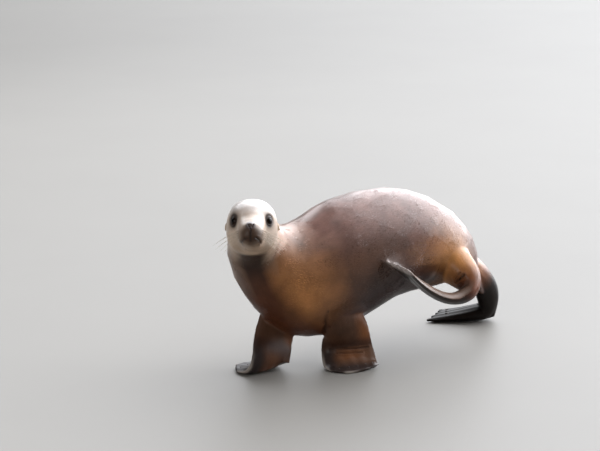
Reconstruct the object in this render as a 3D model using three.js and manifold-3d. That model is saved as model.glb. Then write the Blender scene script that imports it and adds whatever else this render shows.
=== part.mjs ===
// Sea lion standing on both fore flippers and the right hind flipper, the left hind flipper
// lifted and held forward, the head turned to its left. Millimetres, +Z up, the trunk along X
// with the head end at -X, the animal's left at -Y, the floor at Z 0.
import * as THREE from 'three';
import Module from 'manifold-3d';
import { mergeVertices } from 'three/addons/utils/BufferGeometryUtils.js';

const wasm = await Module();
wasm.setup();

// ---------- driving dimensions ----------
const JOINT_GAP = 0.3;
const BODY_SEGMENTS = 32;
const BLADE_SEGMENTS = 30;
const HEAD = { origin: [-167, 4, 482], yaw: 54, pitch: 22 };
const EYE = { forward: 39.5, side: 42.5, up: 0, radius: 16 };
const NOSE = { forward: 131, up: -26, length: 10, width: 13, height: 11 };
const JAW = {
  front: 170, under: -130, corner: [66, -70],
  lip: [[84, -71], [104, -70], [122, -66], [170, -60]],
  throat: [[40, -95], [30, -130]],
};
const NAIL = { length: 14, width: 6, height: 4.4 };
const FORE_NAIL = { length: 7, width: 4.4, height: 3 };

// Sections of the head along its own axis: forward of the ears, centre height over the eye
// line, half width, height over and under the centre.
const HEAD_SECTIONS = [
  { forward: 139, up: -27, half: 9, over: 9, under: 10 },
  { forward: 132, up: -30, half: 21, over: 19, under: 30 },
  { forward: 118, up: -34, half: 30, over: 30, under: 43 },
  { forward: 98, up: -34, half: 36, over: 37, under: 50 },
  { forward: 77, up: -29, half: 39, over: 45, under: 58 },
  { forward: 57, up: -22, half: 45, over: 57, under: 67 },
  { forward: 37, up: -15, half: 58, over: 68, under: 76 },
  { forward: 15, up: -10, half: 68, over: 76, under: 82 },
  { forward: -14, up: -8, half: 73, over: 80, under: 84 },
  { forward: -47, up: -12, half: 72, over: 80, under: 84 },
];

// Sections of the body from the neck to the tail: centre, turn of the section to the left of
// the trunk's own line, half width, height over and under the centre.
const BODY_SECTIONS = [
  { at: [-129, 54, 430], yaw: 50, half: 74, over: 78, under: 84 },
  { at: [-107, 78, 400], yaw: 42, half: 83, over: 78, under: 94 },
  { at: [-76, 92, 366], yaw: 31, half: 97, over: 90, under: 114 },
  { at: [-32, 96, 333], yaw: 23, half: 112, over: 111, under: 148 },
  { at: [28, 92, 306], yaw: 16, half: 123, over: 142, under: 186 },
  { at: [100, 84, 290], yaw: 10, half: 131, over: 176, under: 216 },
  { at: [188, 80, 292], yaw: 2, half: 132, over: 196, under: 200 },
  { at: [288, 80, 308], yaw: -2, half: 129, over: 196, under: 178 },
  { at: [394, 80, 318], yaw: -3, half: 121, over: 184, under: 162 },
  { at: [494, 80, 304], yaw: -3, half: 108, over: 159, under: 148 },
  { at: [582, 76, 268], yaw: -1, half: 90, over: 133, under: 124 },
  { at: [650, 72, 222], yaw: 1, half: 67, over: 102, under: 70 },
  { at: [696, 70, 176], yaw: 0, half: 36, over: 54, under: 34 },
  { at: [736, 68, 136], yaw: 0, half: 20, over: 16, under: 12 },
  { at: [762, 68, 102], yaw: 0, half: 7, over: 5, under: 5 },
];
const ROUND = { head: 2.3, body: 2.1 };

// Flipper sections: place, direction across to the leading edge, half width, thickness.
const FORE_LEFT = [
  { at: [153, 31, 240], across: [-1, -0.15, 0.2], half: 68, thick: 80 },
  { at: [160, 7, 150], across: [-1, 0.2, 0.1], half: 66, thick: 60 },
  { at: [170, -1, 98], across: [-1, 0.45, 0], half: 71, thick: 46 },
  { at: [175, 3, 50], across: [-1, 0.72, 0], half: 78, thick: 38 },
  { at: [164, -28, 14], across: [-1, 0.72, 0], half: 82, thick: 29 },
  { at: [152, -66, 6.5], across: [-1, 0.72, 0], half: 79, thick: 16 },
  { at: [140, -96, 3], across: [-1, 0.72, 0], half: 68, thick: 6 },
];
const FORE_RIGHT = [
  { at: [84, 140, 235], across: [-1, 0.2, 0], half: 68, thick: 78 },
  { at: [2, 110, 140], across: [-1, 0.2, 0], half: 62, thick: 58 },
  { at: [-38, 84, 92], across: [-1, 0.17, 0], half: 60, thick: 46 },
  { at: [-67, 55, 42], across: [-1, 0.05, 0], half: 66, thick: 38 },
  { at: [-72, 84, 12], across: [-1, -0.04, 0], half: 72, thick: 27 },
  { at: [-78, 130, 6], across: [-1, -0.1, 0], half: 75, thick: 15 },
  { at: [-88, 174, 7], across: [-1, -0.15, 0], half: 72, thick: 6 },
];
const HIND_LEFT = [
  { at: [590, 56, 256], across: [0, -0.4, 1], half: 78, thick: 150 },
  { at: [606, -8, 222], across: [0, -0.5, 0.9], half: 58, thick: 112 },
  { at: [606, -72, 180], across: [-0.2, -0.8, 0.5], half: 42, thick: 64 },
  { at: [539, -70, 154], across: [-0.5, -0.8, 0.3], half: 40, thick: 40 },
  { at: [465, -62, 180], across: [-0.57, -0.78, 0.3], half: 44, thick: 32 },
  { at: [379, -68, 240], across: [-0.57, -0.78, 0.3], half: 48, thick: 24 },
  { at: [318, -81, 286], across: [-0.5, -0.8, 0.3], half: 50, thick: 15 },
  { at: [285, -91, 308], across: [-0.45, -0.85, 0.3], half: 49, thick: 8 },
];
const HIND_RIGHT = [
  { at: [640, 92, 240], across: [0, 1, 0], half: 56, thick: 100 },
  { at: [724, 90, 190], across: [0, 1, 0], half: 44, thick: 90 },
  { at: [802, 92, 112], across: [0.1, 1, 0], half: 36, thick: 80 },
  { at: [816, 104, 34], across: [0.4, 0.9, 0], half: 40, thick: 66 },
  { at: [774, 137, 22], across: [0.59, 0.81, 0], half: 48, thick: 44 },
  { at: [722, 183, 13], across: [0.59, 0.81, 0], half: 54, thick: 28 },
  { at: [662, 237, 5], across: [0.59, 0.81, 0], half: 58, thick: 9 },
];
const radians = THREE.MathUtils.degToRad;
const vec = (x, y, z) => new THREE.Vector3(x, y, z);
const mix = THREE.MathUtils.lerp;
const smooth = THREE.MathUtils.smoothstep;

/** Unit vector to the left of something that faces `yaw` degrees left of -X. */
function leftOf(yaw) {
  return vec(Math.sin(radians(yaw)), -Math.cos(radians(yaw)), 0);
}

/** Place in the shared frame of a point given in the head's own frame. */
function headPoint(forward, side, up) {
  const yaw = radians(HEAD.yaw);
  const pitch = radians(HEAD.pitch);
  const ahead = vec(-Math.cos(yaw) * Math.cos(pitch), -Math.sin(yaw) * Math.cos(pitch), Math.sin(pitch));
  const left = leftOf(HEAD.yaw);
  const over = left.clone().cross(ahead.clone().negate());
  return vec(...HEAD.origin).addScaledVector(ahead, forward).addScaledVector(left, side)
    .addScaledVector(over, up);
}

/** The head's sections written as the body's are. */
function headSections() {
  return HEAD_SECTIONS.map((section) => ({
    name: 'head', at: headPoint(section.forward, 0, section.up).toArray(), yaw: HEAD.yaw,
    half: section.half, over: section.over, under: section.under,
  }));
}

/** Smooth centre line and sizes through a row of sections, by section number. */
function spineOf(sections) {
  const last = sections.length - 1;
  const curve = (pick) => new THREE.CatmullRomCurve3(sections.map(pick), false, 'centripetal');
  const centre = curve((s) => vec(...s.at));
  const size = curve((s) => vec(s.half, s.over, s.under));
  const turn = curve((s, i) => vec(s.yaw, 3 * i, 0));
  return {
    last,
    frame(index) {
      const t = index / last;
      const back = centre.getTangent(t);
      const left = leftOf(turn.getPoint(t).x);
      left.addScaledVector(back, -left.dot(back)).normalize();
      const over = left.clone().cross(back);
      return { at: centre.getPoint(t), back, left, over, size: size.getPoint(t) };
    },
  };
}

/** Closed mesh from rings of equal count, each end closed across its own ring. */
function skinRings(rings) {
  const count = rings[0].length;
  const points = rings.flat();
  const faces = [];
  for (let r = 0; r + 1 < rings.length; r += 1) {
    for (let k = 0; k < count; k += 1) {
      const a = r * count + k;
      const b = r * count + ((k + 1) % count);
      faces.push([a, b, b + count], [a, b + count, a + count]);
    }
  }
  const last = (rings.length - 1) * count;
  for (let k = 0; k < count / 2; k += 1) {
    const upper = [k, k + 1];
    const lower = [(count - k) % count, count - k - 1];
    closeAcross(faces, upper, lower, 0, false);
    closeAcross(faces, upper, lower, last, true);
  }
  return solidOf(points, faces);
}

/** Two triangles (one at the ends) between the upper and lower half of an end ring. */
function closeAcross(faces, upper, lower, base, flip) {
  const quad = [upper[0], upper[1], lower[1], lower[0]].map((i) => i + base);
  for (const [a, b, c] of [[quad[0], quad[1], quad[2]], [quad[0], quad[2], quad[3]]]) {
    if (a !== b && b !== c && a !== c) {
      faces.push(flip ? [a, b, c] : [a, c, b]);
    }
  }
}

/** Manifold solid from points and faces, turned to face out. */
function solidOf(points, faces) {
  const geometry = new THREE.BufferGeometry();
  geometry.setAttribute('position', new THREE.Float32BufferAttribute(points.flatMap((p) => p.toArray()), 3));
  geometry.setIndex(faces.flat());
  return toSolid(geometry);
}

/** Signed volume of an indexed geometry. */
function volumeOf(geometry) {
  const position = geometry.attributes.position;
  const index = geometry.index.array;
  const corner = [vec(), vec(), vec()];
  let volume = 0;
  for (let i = 0; i < index.length; i += 3) {
    corner.forEach((c, k) => c.fromBufferAttribute(position, index[i + k]));
    volume += corner[0].dot(corner[1].clone().cross(corner[2])) / 6;
  }
  return volume;
}

/** A three.js geometry as a manifold solid. */
function toSolid(source) {
  const bare = source.clone();
  bare.deleteAttribute('normal');
  bare.deleteAttribute('uv');
  const geometry = mergeVertices(bare, 1e-4);
  const index = Uint32Array.from(geometry.index.array);
  if (volumeOf(geometry) < 0) {
    for (let i = 0; i < index.length; i += 3) {
      [index[i], index[i + 1]] = [index[i + 1], index[i]];
    }
  }
  const mesh = new wasm.Mesh({
    numProp: 3, vertProperties: Float32Array.from(geometry.attributes.position.array), triVerts: index,
  });
  return new wasm.Manifold(mesh);
}

/** A manifold solid as a three.js geometry. */
function toGeometry(solid) {
  const mesh = solid.getMesh();
  const geometry = new THREE.BufferGeometry();
  geometry.setAttribute('position', new THREE.Float32BufferAttribute(mesh.vertProperties, 3));
  geometry.setIndex(Array.from(mesh.triVerts));
  return geometry;
}

// ---------- head, neck, trunk and tail ----------
const SPINE = spineOf([...headSections(), ...BODY_SECTIONS]);
const NECK_START = HEAD_SECTIONS.length;
const SWELLS = [
  { name: 'whisker pad', at: [112, 25, -50], radius: 20, rise: 5 },
  { name: 'brow', at: [36, 40, 24], radius: 18, rise: 3 },
  { name: 'eye hollow', at: [44, 50, 0], radius: 17, rise: -3 },
  { name: 'cheek', at: [10, 62, -50], radius: 40, rise: 4 },
];

/** How far the head's surface stands out at a point, for the soft forms of the face. */
function swellAt(point) {
  let rise = 0;
  for (const swell of SWELLS) {
    for (const side of [1, -1]) {
      const [forward, lateral, up] = swell.at;
      const distance = point.distanceTo(headPoint(forward, side * lateral, up));
      rise += swell.rise * Math.exp(-((distance / swell.radius) ** 2));
    }
  }
  return rise;
}

/** Cosine or sine made squarer, for a section fuller than an ellipse. */
function fuller(value, power) {
  return Math.sign(value) * Math.abs(value) ** (2 / power);
}

/** One ring of the body, `grow` mm outside it and `shift` mm along the spine. */
function bodyRing(index, grow, shift) {
  const frame = SPINE.frame(index);
  const power = mix(ROUND.head, ROUND.body, smooth(index, NECK_START - 2, NECK_START + 2));
  const ring = [];
  for (let k = 0; k < BODY_SEGMENTS; k += 1) {
    const angle = (2 * Math.PI * k) / BODY_SEGMENTS;
    const height = Math.sin(angle) > 0 ? frame.size.y : frame.size.z;
    const out = frame.left.clone().multiplyScalar(fuller(Math.cos(angle), power) * (frame.size.x + grow))
      .addScaledVector(frame.over, fuller(Math.sin(angle), power) * (height + grow));
    const point = frame.at.clone().add(out).addScaledVector(frame.back, shift);
    if (index < NECK_START) {
      point.addScaledVector(out.normalize(), swellAt(point));
    }
    ring.push(point);
  }
  return ring;
}

/** The body between two section numbers, with half a joint gap taken off each cut end. */
function bodyPiece(from, to, perSection, grow = 0) {
  const steps = Math.max(1, Math.round((to - from) * perSection));
  const rings = [];
  for (let i = 0; i <= steps; i += 1) {
    const index = mix(from, to, i / steps);
    const cut = JOINT_GAP / 2 - grow;
    const cutStart = i === 0 && from > 0 ? cut : 0;
    const cutEnd = i === steps && to < SPINE.last ? -cut : 0;
    rings.push(bodyRing(index, grow, cutStart + cutEnd));
  }
  return skinRings(rings);
}

// ---------- flippers ----------
/** Smooth blade along a row of stations; `upper` is 1 or -1 for the side its back lies on. */
function bladeOf(stations, upper = 1) {
  const curve = (pick) => new THREE.CatmullRomCurve3(stations.map(pick), false, 'centripetal');
  const centre = curve((s) => vec(...s.at));
  const across = curve((s) => vec(...s.across).normalize().multiplyScalar(100));
  const size = curve((s, i) => vec(s.half, s.thick / 2, 20 * i));
  return {
    /** Point of the surface at length s (0 to 1), chord (-1 trailing, 1 leading), side up. */
    point(s, chord, rise, lead) {
      const along = centre.getTangent(s);
      const wide = across.getPoint(s).normalize();
      wide.addScaledVector(along, -wide.dot(along)).normalize();
      const up = wide.clone().cross(along).multiplyScalar(upper);
      const sizes = size.getPoint(s);
      const place = centre.getPoint(s).addScaledVector(wide, chord * sizes.x)
        .addScaledVector(up, rise * sizes.y * (1 + lead * chord));
      return { place, along, wide, up };
    },
  };
}

/** One loop of a blade at length u, `shift` mm along it and never under the floor. */
function bladeLoop(blade, options, u, shift) {
  const { reach, lead, bend, segments = BLADE_SEGMENTS } = options;
  const half = segments / 2;
  const loop = [];
  for (let k = 0; k < segments; k += 1) {
    const chord = 1 - (2 * Math.min(k, segments - k)) / half;
    const rise = Math.sign(half - k) * Math.sqrt(1 - chord * chord);
    const s = u - (1 - reach(chord)) * smooth(u, bend, 1) * u;
    const { place, along } = blade.point(s, chord, rise, lead);
    place.addScaledVector(along, shift);
    place.z = Math.max(place.z, 0);
    loop.push(place);
  }
  return loop;
}

/** Closed solid of a blade between two lengths, with half a joint gap off each cut end. */
function bladeSolid(blade, options, from = 0, to = 1) {
  const steps = Math.round((to - from) * options.rings);
  const loops = [];
  for (let i = 0; i <= steps; i += 1) {
    const startGap = i === 0 && from > 0 ? JOINT_GAP / 2 : 0;
    const endGap = i === steps && to < 1 ? JOINT_GAP / 2 : 0;
    loops.push(bladeLoop(blade, options, mix(from, to, i / steps), startGap - endGap));
  }
  return skinRings(loops);
}

/** Length of a fore flipper across its chord: the tip near the leading edge, five soft lobes. */
function foreReach(chord) {
  const rounded = 0.2 * Math.max(0, (chord - 0.3) / 0.7) ** 2;
  const trailing = 0.17 * Math.max(0, (0.3 - chord) / 1.3) ** 1.4;
  return 1 - rounded - trailing - 0.012 * Math.sin(2.5 * Math.PI * chord) ** 2;
}

/** Length of a hind flipper across its chord: five lobes, the outer two the longest. */
function hindReach(chord) {
  const edge = 0.05 * Math.max(0, (Math.abs(chord) - 0.8) / 0.2) ** 2;
  return 1 - 0.03 * (1 - chord * chord) - edge - 0.035 * Math.sin(2.5 * Math.PI * chord) ** 2;
}

/** Length of the planted hind flipper: its lobes get shorter towards the leading edge. */
function splayedReach(chord) {
  return hindReach(chord) - 0.045 * (1 + chord);
}

/** Ellipsoid with its radii along three given directions. */
function ellipsoid(place, axes, radii, detail = [12, 8]) {
  const geometry = new THREE.SphereGeometry(1, ...detail);
  const scaled = axes.map((axis, i) => axis.clone().normalize().multiplyScalar(radii[i]));
  geometry.applyMatrix4(new THREE.Matrix4().makeBasis(...scaled).setPosition(place));
  return toSolid(geometry);
}

/** Directions of the head: ahead, to its left, up. */
function headAxes() {
  const origin = headPoint(0, 0, 0);
  return [[1, 0, 0], [0, 1, 0], [0, 0, 1]].map((a) => headPoint(...a).sub(origin));
}

/** Block under the line of the mouth and ahead of the throat, `gap` mm inside that line. */
function jawBlock(gap) {
  const [ahead, left, over] = headAxes();
  const line = [...[...JAW.throat].reverse(), JAW.corner, ...JAW.lip, [JAW.front, JAW.under]];
  const outline = line.map(([forward, up]) => new THREE.Vector2(forward + gap, up - gap));
  const width = 150;
  const block = new THREE.ExtrudeGeometry(new THREE.Shape(outline), { depth: width, bevelEnabled: false });
  block.translate(0, 0, -width / 2);
  const basis = new THREE.Matrix4().makeBasis(ahead, over, left.clone().negate());
  block.applyMatrix4(basis.setPosition(headPoint(0, 0, 0)));
  return toSolid(block);
}

/** Eyeball of one side, `grow` mm larger than its own size. */
function eyeball(side, grow = 0) {
  const radius = EYE.radius + grow;
  return ellipsoid(headPoint(EYE.forward, side * EYE.side, EYE.up), headAxes(), [radius, radius, radius]);
}

/** The bare pad at the end of the nose. */
function nosePad(grow = 0) {
  const radii = [NOSE.length, NOSE.width, NOSE.height].map((radius) => radius + grow);
  return ellipsoid(headPoint(NOSE.forward, 0, NOSE.up), headAxes(), radii);
}

/** Small rolled ear that points back and down, close to the head. */
function ear(side) {
  const at = (forward, out, up) => headPoint(forward, side * out, up).toArray();
  const across = headAxes()[2].toArray();
  const stations = [
    { at: at(-30, 64, 8), across, half: 7, thick: 9 },
    { at: at(-42, 72, 3), across, half: 7.5, thick: 8 },
    { at: at(-54, 77, -5), across, half: 5.5, thick: 6 },
    { at: at(-63, 79, -13), across, half: 2, thick: 2.4 },
  ];
  return bladeSolid(bladeOf(stations), { rings: 6, reach: () => 1, lead: 0, bend: 0.5, segments: 10 });
}

// ---------- finishes ----------
const FINISHES = {
  back_coat: { color: '#7d6a60', roughness: 0.4 },
  face_coat: { color: '#c9b8aa', roughness: 0.45 },
  fore_skin: { color: '#54402f', roughness: 0.45 },
  hind_skin: { color: '#2a211c', roughness: 0.35 },
  nose_skin: { color: '#3a302c', roughness: 0.4 },
  eye_gloss: { color: '#15100e', roughness: 0.08 },
  nail_horn: { color: '#2b2420', roughness: 0.35 },
};

const group = new THREE.Group();
group.name = 'sea_lion';

/** Adds one named solid in its own copy of a finish. */
function addNode(name, finish, solid) {
  const material = new THREE.MeshStandardMaterial({ ...FINISHES[finish], metalness: 0 });
  material.name = finish;
  const mesh = new THREE.Mesh(toGeometry(solid), material);
  mesh.name = name;
  group.add(mesh);
}

/** Head without its sockets, its lower jaw, its nose pad, eyes and ears. */
function addHead() {
  const whole = bodyPiece(BODY_PARTS[0].from, BODY_PARTS[0].to, BODY_PARTS[0].perSection);
  const eyes = [eyeball(1, JOINT_GAP), eyeball(-1, JOINT_GAP)];
  const skull = eyes.reduce((solid, eye) => solid.subtract(eye), whole).subtract(nosePad(JOINT_GAP));
  addNode('head', 'face_coat', skull.subtract(jawBlock(0)));
  addNode('lower_jaw', 'face_coat', skull.intersect(jawBlock(JOINT_GAP)));
  addNode('nose_pad', 'nose_skin', nosePad());
  for (const [name, side] of [['left', 1], ['right', -1]]) {
    addNode(`eye_${name}`, 'eye_gloss', eyeball(side));
    addNode(`ear_${name}`, 'face_coat', ear(side).subtract(GROWN_BODY));
  }
}

/** Named parts from one section number to the next; the head has the finest rings. */
function partsOf(ends) {
  return ends.map(([name, to], i) => ({
    name, from: i === 0 ? 0 : ends[i - 1][1], to, perSection: i === 0 ? 1.8 : 1.6,
  }));
}

/** The whole body `grow` mm outside its surface, in the same pieces as it is parted into. */
function grownBody(grow) {
  const pieces = BODY_PARTS.map(({ from, to, perSection }) => bodyPiece(from, to, perSection, grow));
  return pieces.reduce((whole, piece) => whole.add(piece));
}

/** Neck, trunk and tail, parted across the spine. */
function addTrunk() {
  for (const { name, from, to, perSection } of BODY_PARTS.slice(1)) {
    addNode(name, 'back_coat', bodyPiece(from, to, perSection));
  }
}

/** Nail lying half sunk in a flipper's upper face. */
function nail(blade, s, chord, size, lead, grow = 0) {
  const { place, along, wide, up } = blade.point(s, chord, Math.sqrt(1 - chord * chord), lead);
  const radii = [size.length / 2, size.width / 2, size.height / 2].map((radius) => radius + grow);
  return ellipsoid(place, [along, wide, up], radii, [6, 4]);
}

/** One limb: the leg down to its joint, the flipper beyond it and the nails. */
function addLimb(pair, side, stations, upper, options) {
  const blade = bladeOf(stations, upper);
  const { lead, nails, nailSize, joint, finish } = options;
  const flipper = `${pair}_flipper_${side}`;
  const sockets = nails.map(([s, chord]) => nail(blade, s, chord, nailSize, lead, JOINT_GAP));
  addNode(`${pair}_leg_${side}`, finish, bladeSolid(blade, options, 0, joint).subtract(GROWN_BODY));
  const flesh = bladeSolid(blade, options, joint, 1).subtract(GROWN_BODY);
  addNode(flipper, finish, sockets.reduce((solid, socket) => solid.subtract(socket), flesh));
  nails.forEach(([s, chord], i) => {
    addNode(`${flipper}_nail_${i + 1}`, 'nail_horn', nail(blade, s, chord, nailSize, lead));
  });
}

const BODY_PARTS = partsOf([['head', NECK_START], ['neck', NECK_START + 2.5],
  ['chest', NECK_START + 4.5], ['shoulders', NECK_START + 6.5], ['back', NECK_START + 8],
  ['loins', NECK_START + 9.5], ['rump', NECK_START + 11.5], ['tail', SPINE.last]]);
const GROWN_BODY = grownBody(JOINT_GAP);
const FORE = {
  finish: 'fore_skin', rings: 12, reach: foreReach, lead: 0.45, bend: 0.55, joint: 0.48, nailSize: FORE_NAIL,
  nails: [[0.86, 0.62], [0.85, 0.24], [0.83, -0.12], [0.8, -0.46], [0.77, -0.76]],
};
const HIND = {
  finish: 'hind_skin', rings: 12, reach: hindReach, lead: 0, bend: 0.6, joint: 0.33, nailSize: NAIL,
  nails: [[0.84, 0.4], [0.84, 0], [0.84, -0.4]],
};
addHead();
addTrunk();
addLimb('fore', 'left', FORE_LEFT, 1, FORE);
addLimb('fore', 'right', FORE_RIGHT, -1, FORE);
addLimb('hind', 'left', HIND_LEFT, -1, HIND);
addLimb('hind', 'right', HIND_RIGHT, 1, { ...HIND, reach: splayedReach });

/** Moves the part so that its origin lies on the floor, under the middle of its box. */
function centreOnFloor() {
  const box = new THREE.Box3().setFromObject(group);
  const middle = box.getCenter(vec());
  for (const mesh of group.children) {
    mesh.geometry.translate(-middle.x, -middle.y, -box.min.z);
  }
}
centreOnFloor();

export default group;
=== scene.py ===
"""Sea lion on three flippers: its wet hide, coat, eyes, nails and whiskers, on a pale studio floor."""
import logging
import math
from dataclasses import dataclass, field
from enum import Enum

import bmesh
import bpy
import numpy as np
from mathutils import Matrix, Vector
from mathutils.bvhtree import BVHTree
from mathutils.kdtree import KDTree


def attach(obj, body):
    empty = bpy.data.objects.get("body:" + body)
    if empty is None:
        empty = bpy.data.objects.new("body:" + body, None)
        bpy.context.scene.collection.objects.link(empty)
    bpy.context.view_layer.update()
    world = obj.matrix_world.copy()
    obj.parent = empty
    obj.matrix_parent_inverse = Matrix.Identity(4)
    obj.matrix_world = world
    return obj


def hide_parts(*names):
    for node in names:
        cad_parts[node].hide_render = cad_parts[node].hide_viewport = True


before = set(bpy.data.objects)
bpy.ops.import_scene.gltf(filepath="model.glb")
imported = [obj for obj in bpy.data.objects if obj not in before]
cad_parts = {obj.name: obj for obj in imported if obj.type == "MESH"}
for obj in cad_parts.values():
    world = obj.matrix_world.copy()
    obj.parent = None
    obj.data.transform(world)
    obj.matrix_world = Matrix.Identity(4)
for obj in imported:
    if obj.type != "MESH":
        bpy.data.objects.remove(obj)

log = logging.getLogger("sea_lion")
MM = 0.001
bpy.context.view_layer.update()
ORIGIN = np.array((-291.073, -52.655, 0.0))  # mm, from the body's own drawing to the shared frame
COAT_DEPTH = 0.9 * MM


class Region(Enum):
    """Parts of the hide that differ in colour, in smoothness or in the length of the coat."""

    TRUNK = "trunk"
    HEAD = "head"
    EAR = "ear"
    FORE_LEFT = "fore_left"
    FORE_RIGHT = "fore_right"
    HIND_LEFT = "hind_left"
    HIND_RIGHT = "hind_right"


# Nodes of flesh that meet end to end.
FORMS = (
    ("neck", "chest", "shoulders", "back", "loins", "rump", "tail"),
    *((f"{pair}_leg_{side}", f"{pair}_flipper_{side}") for pair in ("fore", "hind") for side in ("left", "right")),
)
LIMBS = (Region.FORE_LEFT, Region.FORE_RIGHT, Region.HIND_LEFT, Region.HIND_RIGHT)
# How far each region's facets are smoothed, against the trunk's.
SMOOTHNESS = {
    Region.TRUNK: 1.0, Region.HEAD: 0.18, Region.EAR: 0.0, Region.FORE_LEFT: 0.06,
    Region.FORE_RIGHT: 0.06, Region.HIND_LEFT: 0.06, Region.HIND_RIGHT: 0.06,
}


def region_of(node: str) -> Region:
    """The region that a flesh node belongs to.

    Args:
        node: Name of the CAD node.

    Returns:
        Its region of the hide.
    """
    for pair in ("fore", "hind"):
        if node.startswith(pair):
            return Region(f"{pair}_{'left' if 'left' in node else 'right'}")
    if node.startswith("ear"):
        return Region.EAR
    if node in ("head", "lower_jaw", "nose_pad", "eye_left", "eye_right"):
        return Region.HEAD
    return Region.TRUNK


# ---------------------------------------------------------------- small helpers
def linear(hex_colour: str) -> np.ndarray:
    """Turns an sRGB hex colour into linear RGB.

    Args:
        hex_colour: Such as "#8f6b48".

    Returns:
        Three linear values.
    """
    srgb = np.array([int(hex_colour[i:i + 2], 16) / 255 for i in (1, 3, 5)])
    return np.where(srgb <= 0.04045, srgb / 12.92, ((srgb + 0.055) / 1.055) ** 2.4)


def ease(value: np.ndarray, low: float, high: float) -> np.ndarray:
    """Smooth step from 0 at low to 1 at high; low may be the larger."""
    t = np.clip((value - low) / (high - low), 0.0, 1.0)
    return t * t * (3 - 2 * t)


def bell(value: np.ndarray, width: float) -> np.ndarray:
    """Smooth bump of 1 at 0 that is nearly gone at twice its width."""
    return np.exp(-((value / width) ** 2))


def deselect() -> None:
    """Leaves nothing selected."""
    bpy.ops.object.select_all(action="DESELECT")


def activate(*objects: bpy.types.Object) -> None:
    """Selects only these objects, with the first one active."""
    deselect()
    for item in objects:
        item.select_set(True)
    bpy.context.view_layer.objects.active = objects[0]


def join(objects: list[bpy.types.Object], name: str) -> bpy.types.Object:
    """Joins objects into the first of them.

    Args:
        objects: What is joined.
        name: Name of the result.

    Returns:
        The joined object.
    """
    activate(*objects)
    if len(objects) > 1:
        bpy.ops.object.join()
    whole = bpy.context.view_layer.objects.active
    whole.name = name
    return whole


def apply_modifier(target: bpy.types.Object, kind: str, **settings: object) -> None:
    """Adds one modifier with its settings and applies it.

    Args:
        target: Object that takes it.
        kind: Blender's name of the modifier.
        **settings: Its properties.
    """
    modifier = target.modifiers.new(kind.lower(), kind)
    for key, value in settings.items():
        setattr(modifier, key, value)
    activate(target)
    bpy.ops.object.modifier_apply(modifier=modifier.name)


def copy_of(node: str) -> bpy.types.Object:
    """A merged, loose copy of a CAD node.

    Args:
        node: Name of the node.

    Returns:
        The copy, at the origin.
    """
    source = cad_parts[node]
    mesh = source.data.copy()
    mesh.transform(source.matrix_world)
    mesh.materials.clear()
    twin = bpy.data.objects.new(f"copy_{node}", mesh)
    bpy.context.scene.collection.objects.link(twin)
    activate(twin)
    bpy.ops.object.mode_set(mode="EDIT")
    bpy.ops.mesh.select_all(action="SELECT")
    bpy.ops.mesh.remove_doubles(threshold=0.02 * MM)
    bpy.ops.mesh.normals_make_consistent(inside=False)
    bpy.ops.object.mode_set(mode="OBJECT")
    return twin


def points_of(target: bpy.types.Object) -> np.ndarray:
    """Vertices of an object's mesh, in mm."""
    flat = np.empty(len(target.data.vertices) * 3, dtype=np.float32)
    target.data.vertices.foreach_get("co", flat)
    return flat.reshape(-1, 3).astype(np.float64) / MM


def normals_of(target: bpy.types.Object) -> np.ndarray:
    """Unit normals at the vertices of an object's mesh."""
    flat = np.empty(len(target.data.vertices) * 3, dtype=np.float32)
    target.data.vertex_normals.foreach_get("vector", flat)
    return flat.reshape(-1, 3).astype(np.float64)


def set_points(target: bpy.types.Object, points: np.ndarray) -> None:
    """Moves the vertices of an object's mesh to points in mm."""
    target.data.vertices.foreach_set("co", (points * MM).astype(np.float32).ravel())
    target.data.update()


def write_attribute(mesh: bpy.types.Mesh, name: str, kind: str, values: np.ndarray) -> None:
    """Stores one value for each vertex as a named attribute.

    Args:
        mesh: Mesh that takes it.
        name: Attribute's name.
        kind: FLOAT, FLOAT_VECTOR or FLOAT_COLOR.
        values: One row for each vertex.
    """
    key = {"FLOAT": "value", "FLOAT_VECTOR": "vector", "FLOAT_COLOR": "color"}[kind]
    layer = mesh.attributes.new(name, kind, "POINT")
    layer.data.foreach_set(key, values.astype(np.float32).ravel())


def solid_faces(names: list[str]) -> tuple[BVHTree, list[str]]:
    """The faces of CAD nodes, for finding places on them.

    Args:
        names: The nodes.

    Returns:
        A search tree of the faces, and for each face the node that it belongs to.
    """
    vertices, faces, owner = [], [], []
    for name in names:
        node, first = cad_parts[name], len(vertices)
        vertices.extend(node.matrix_world @ v.co for v in node.data.vertices)
        faces.extend(tuple(i + first for i in polygon.vertices) for polygon in node.data.polygons)
        owner.extend([name] * len(node.data.polygons))
    return BVHTree.FromPolygons(vertices, faces), owner


class Neighbours:
    """Which vertices of a mesh share an edge, for spreading values over its surface."""

    def __init__(self, mesh: bpy.types.Mesh) -> None:
        """Reads the edges of a mesh."""
        edges = np.empty(len(mesh.edges) * 2, dtype=np.int32)
        mesh.edges.foreach_get("vertices", edges)
        pairs = edges.reshape(-1, 2)
        self.count = len(mesh.vertices)
        self.start = np.concatenate([pairs[:, 0], pairs[:, 1]])
        self.end = np.concatenate([pairs[:, 1], pairs[:, 0]])
        self.degree = np.maximum(np.bincount(self.start, minlength=self.count), 1)

    def mean(self, values: np.ndarray) -> np.ndarray:
        """Mean of each vertex's neighbours."""
        columns = values.reshape(self.count, -1)
        sums = [np.bincount(self.start, columns[self.end, k], self.count) for k in range(columns.shape[1])]
        return (np.stack(sums, axis=1) / self.degree[:, None]).reshape(values.shape)

    def spread(self, values: np.ndarray, rounds: int, rate: np.ndarray | float = 1.0) -> np.ndarray:
        """Smooths values over the surface.

        Args:
            values: One value or row for each vertex.
            rounds: How many times.
            rate: 0 to 1, at each vertex or for all.

        Returns:
            The smoothed values.
        """
        share = 0.5 * np.asarray(rate, dtype=np.float64)
        if values.ndim > 1 and share.ndim == 1:
            share = share[:, None]
        for _ in range(rounds):
            values = values + share * (self.mean(values) - values)
        return values


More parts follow.
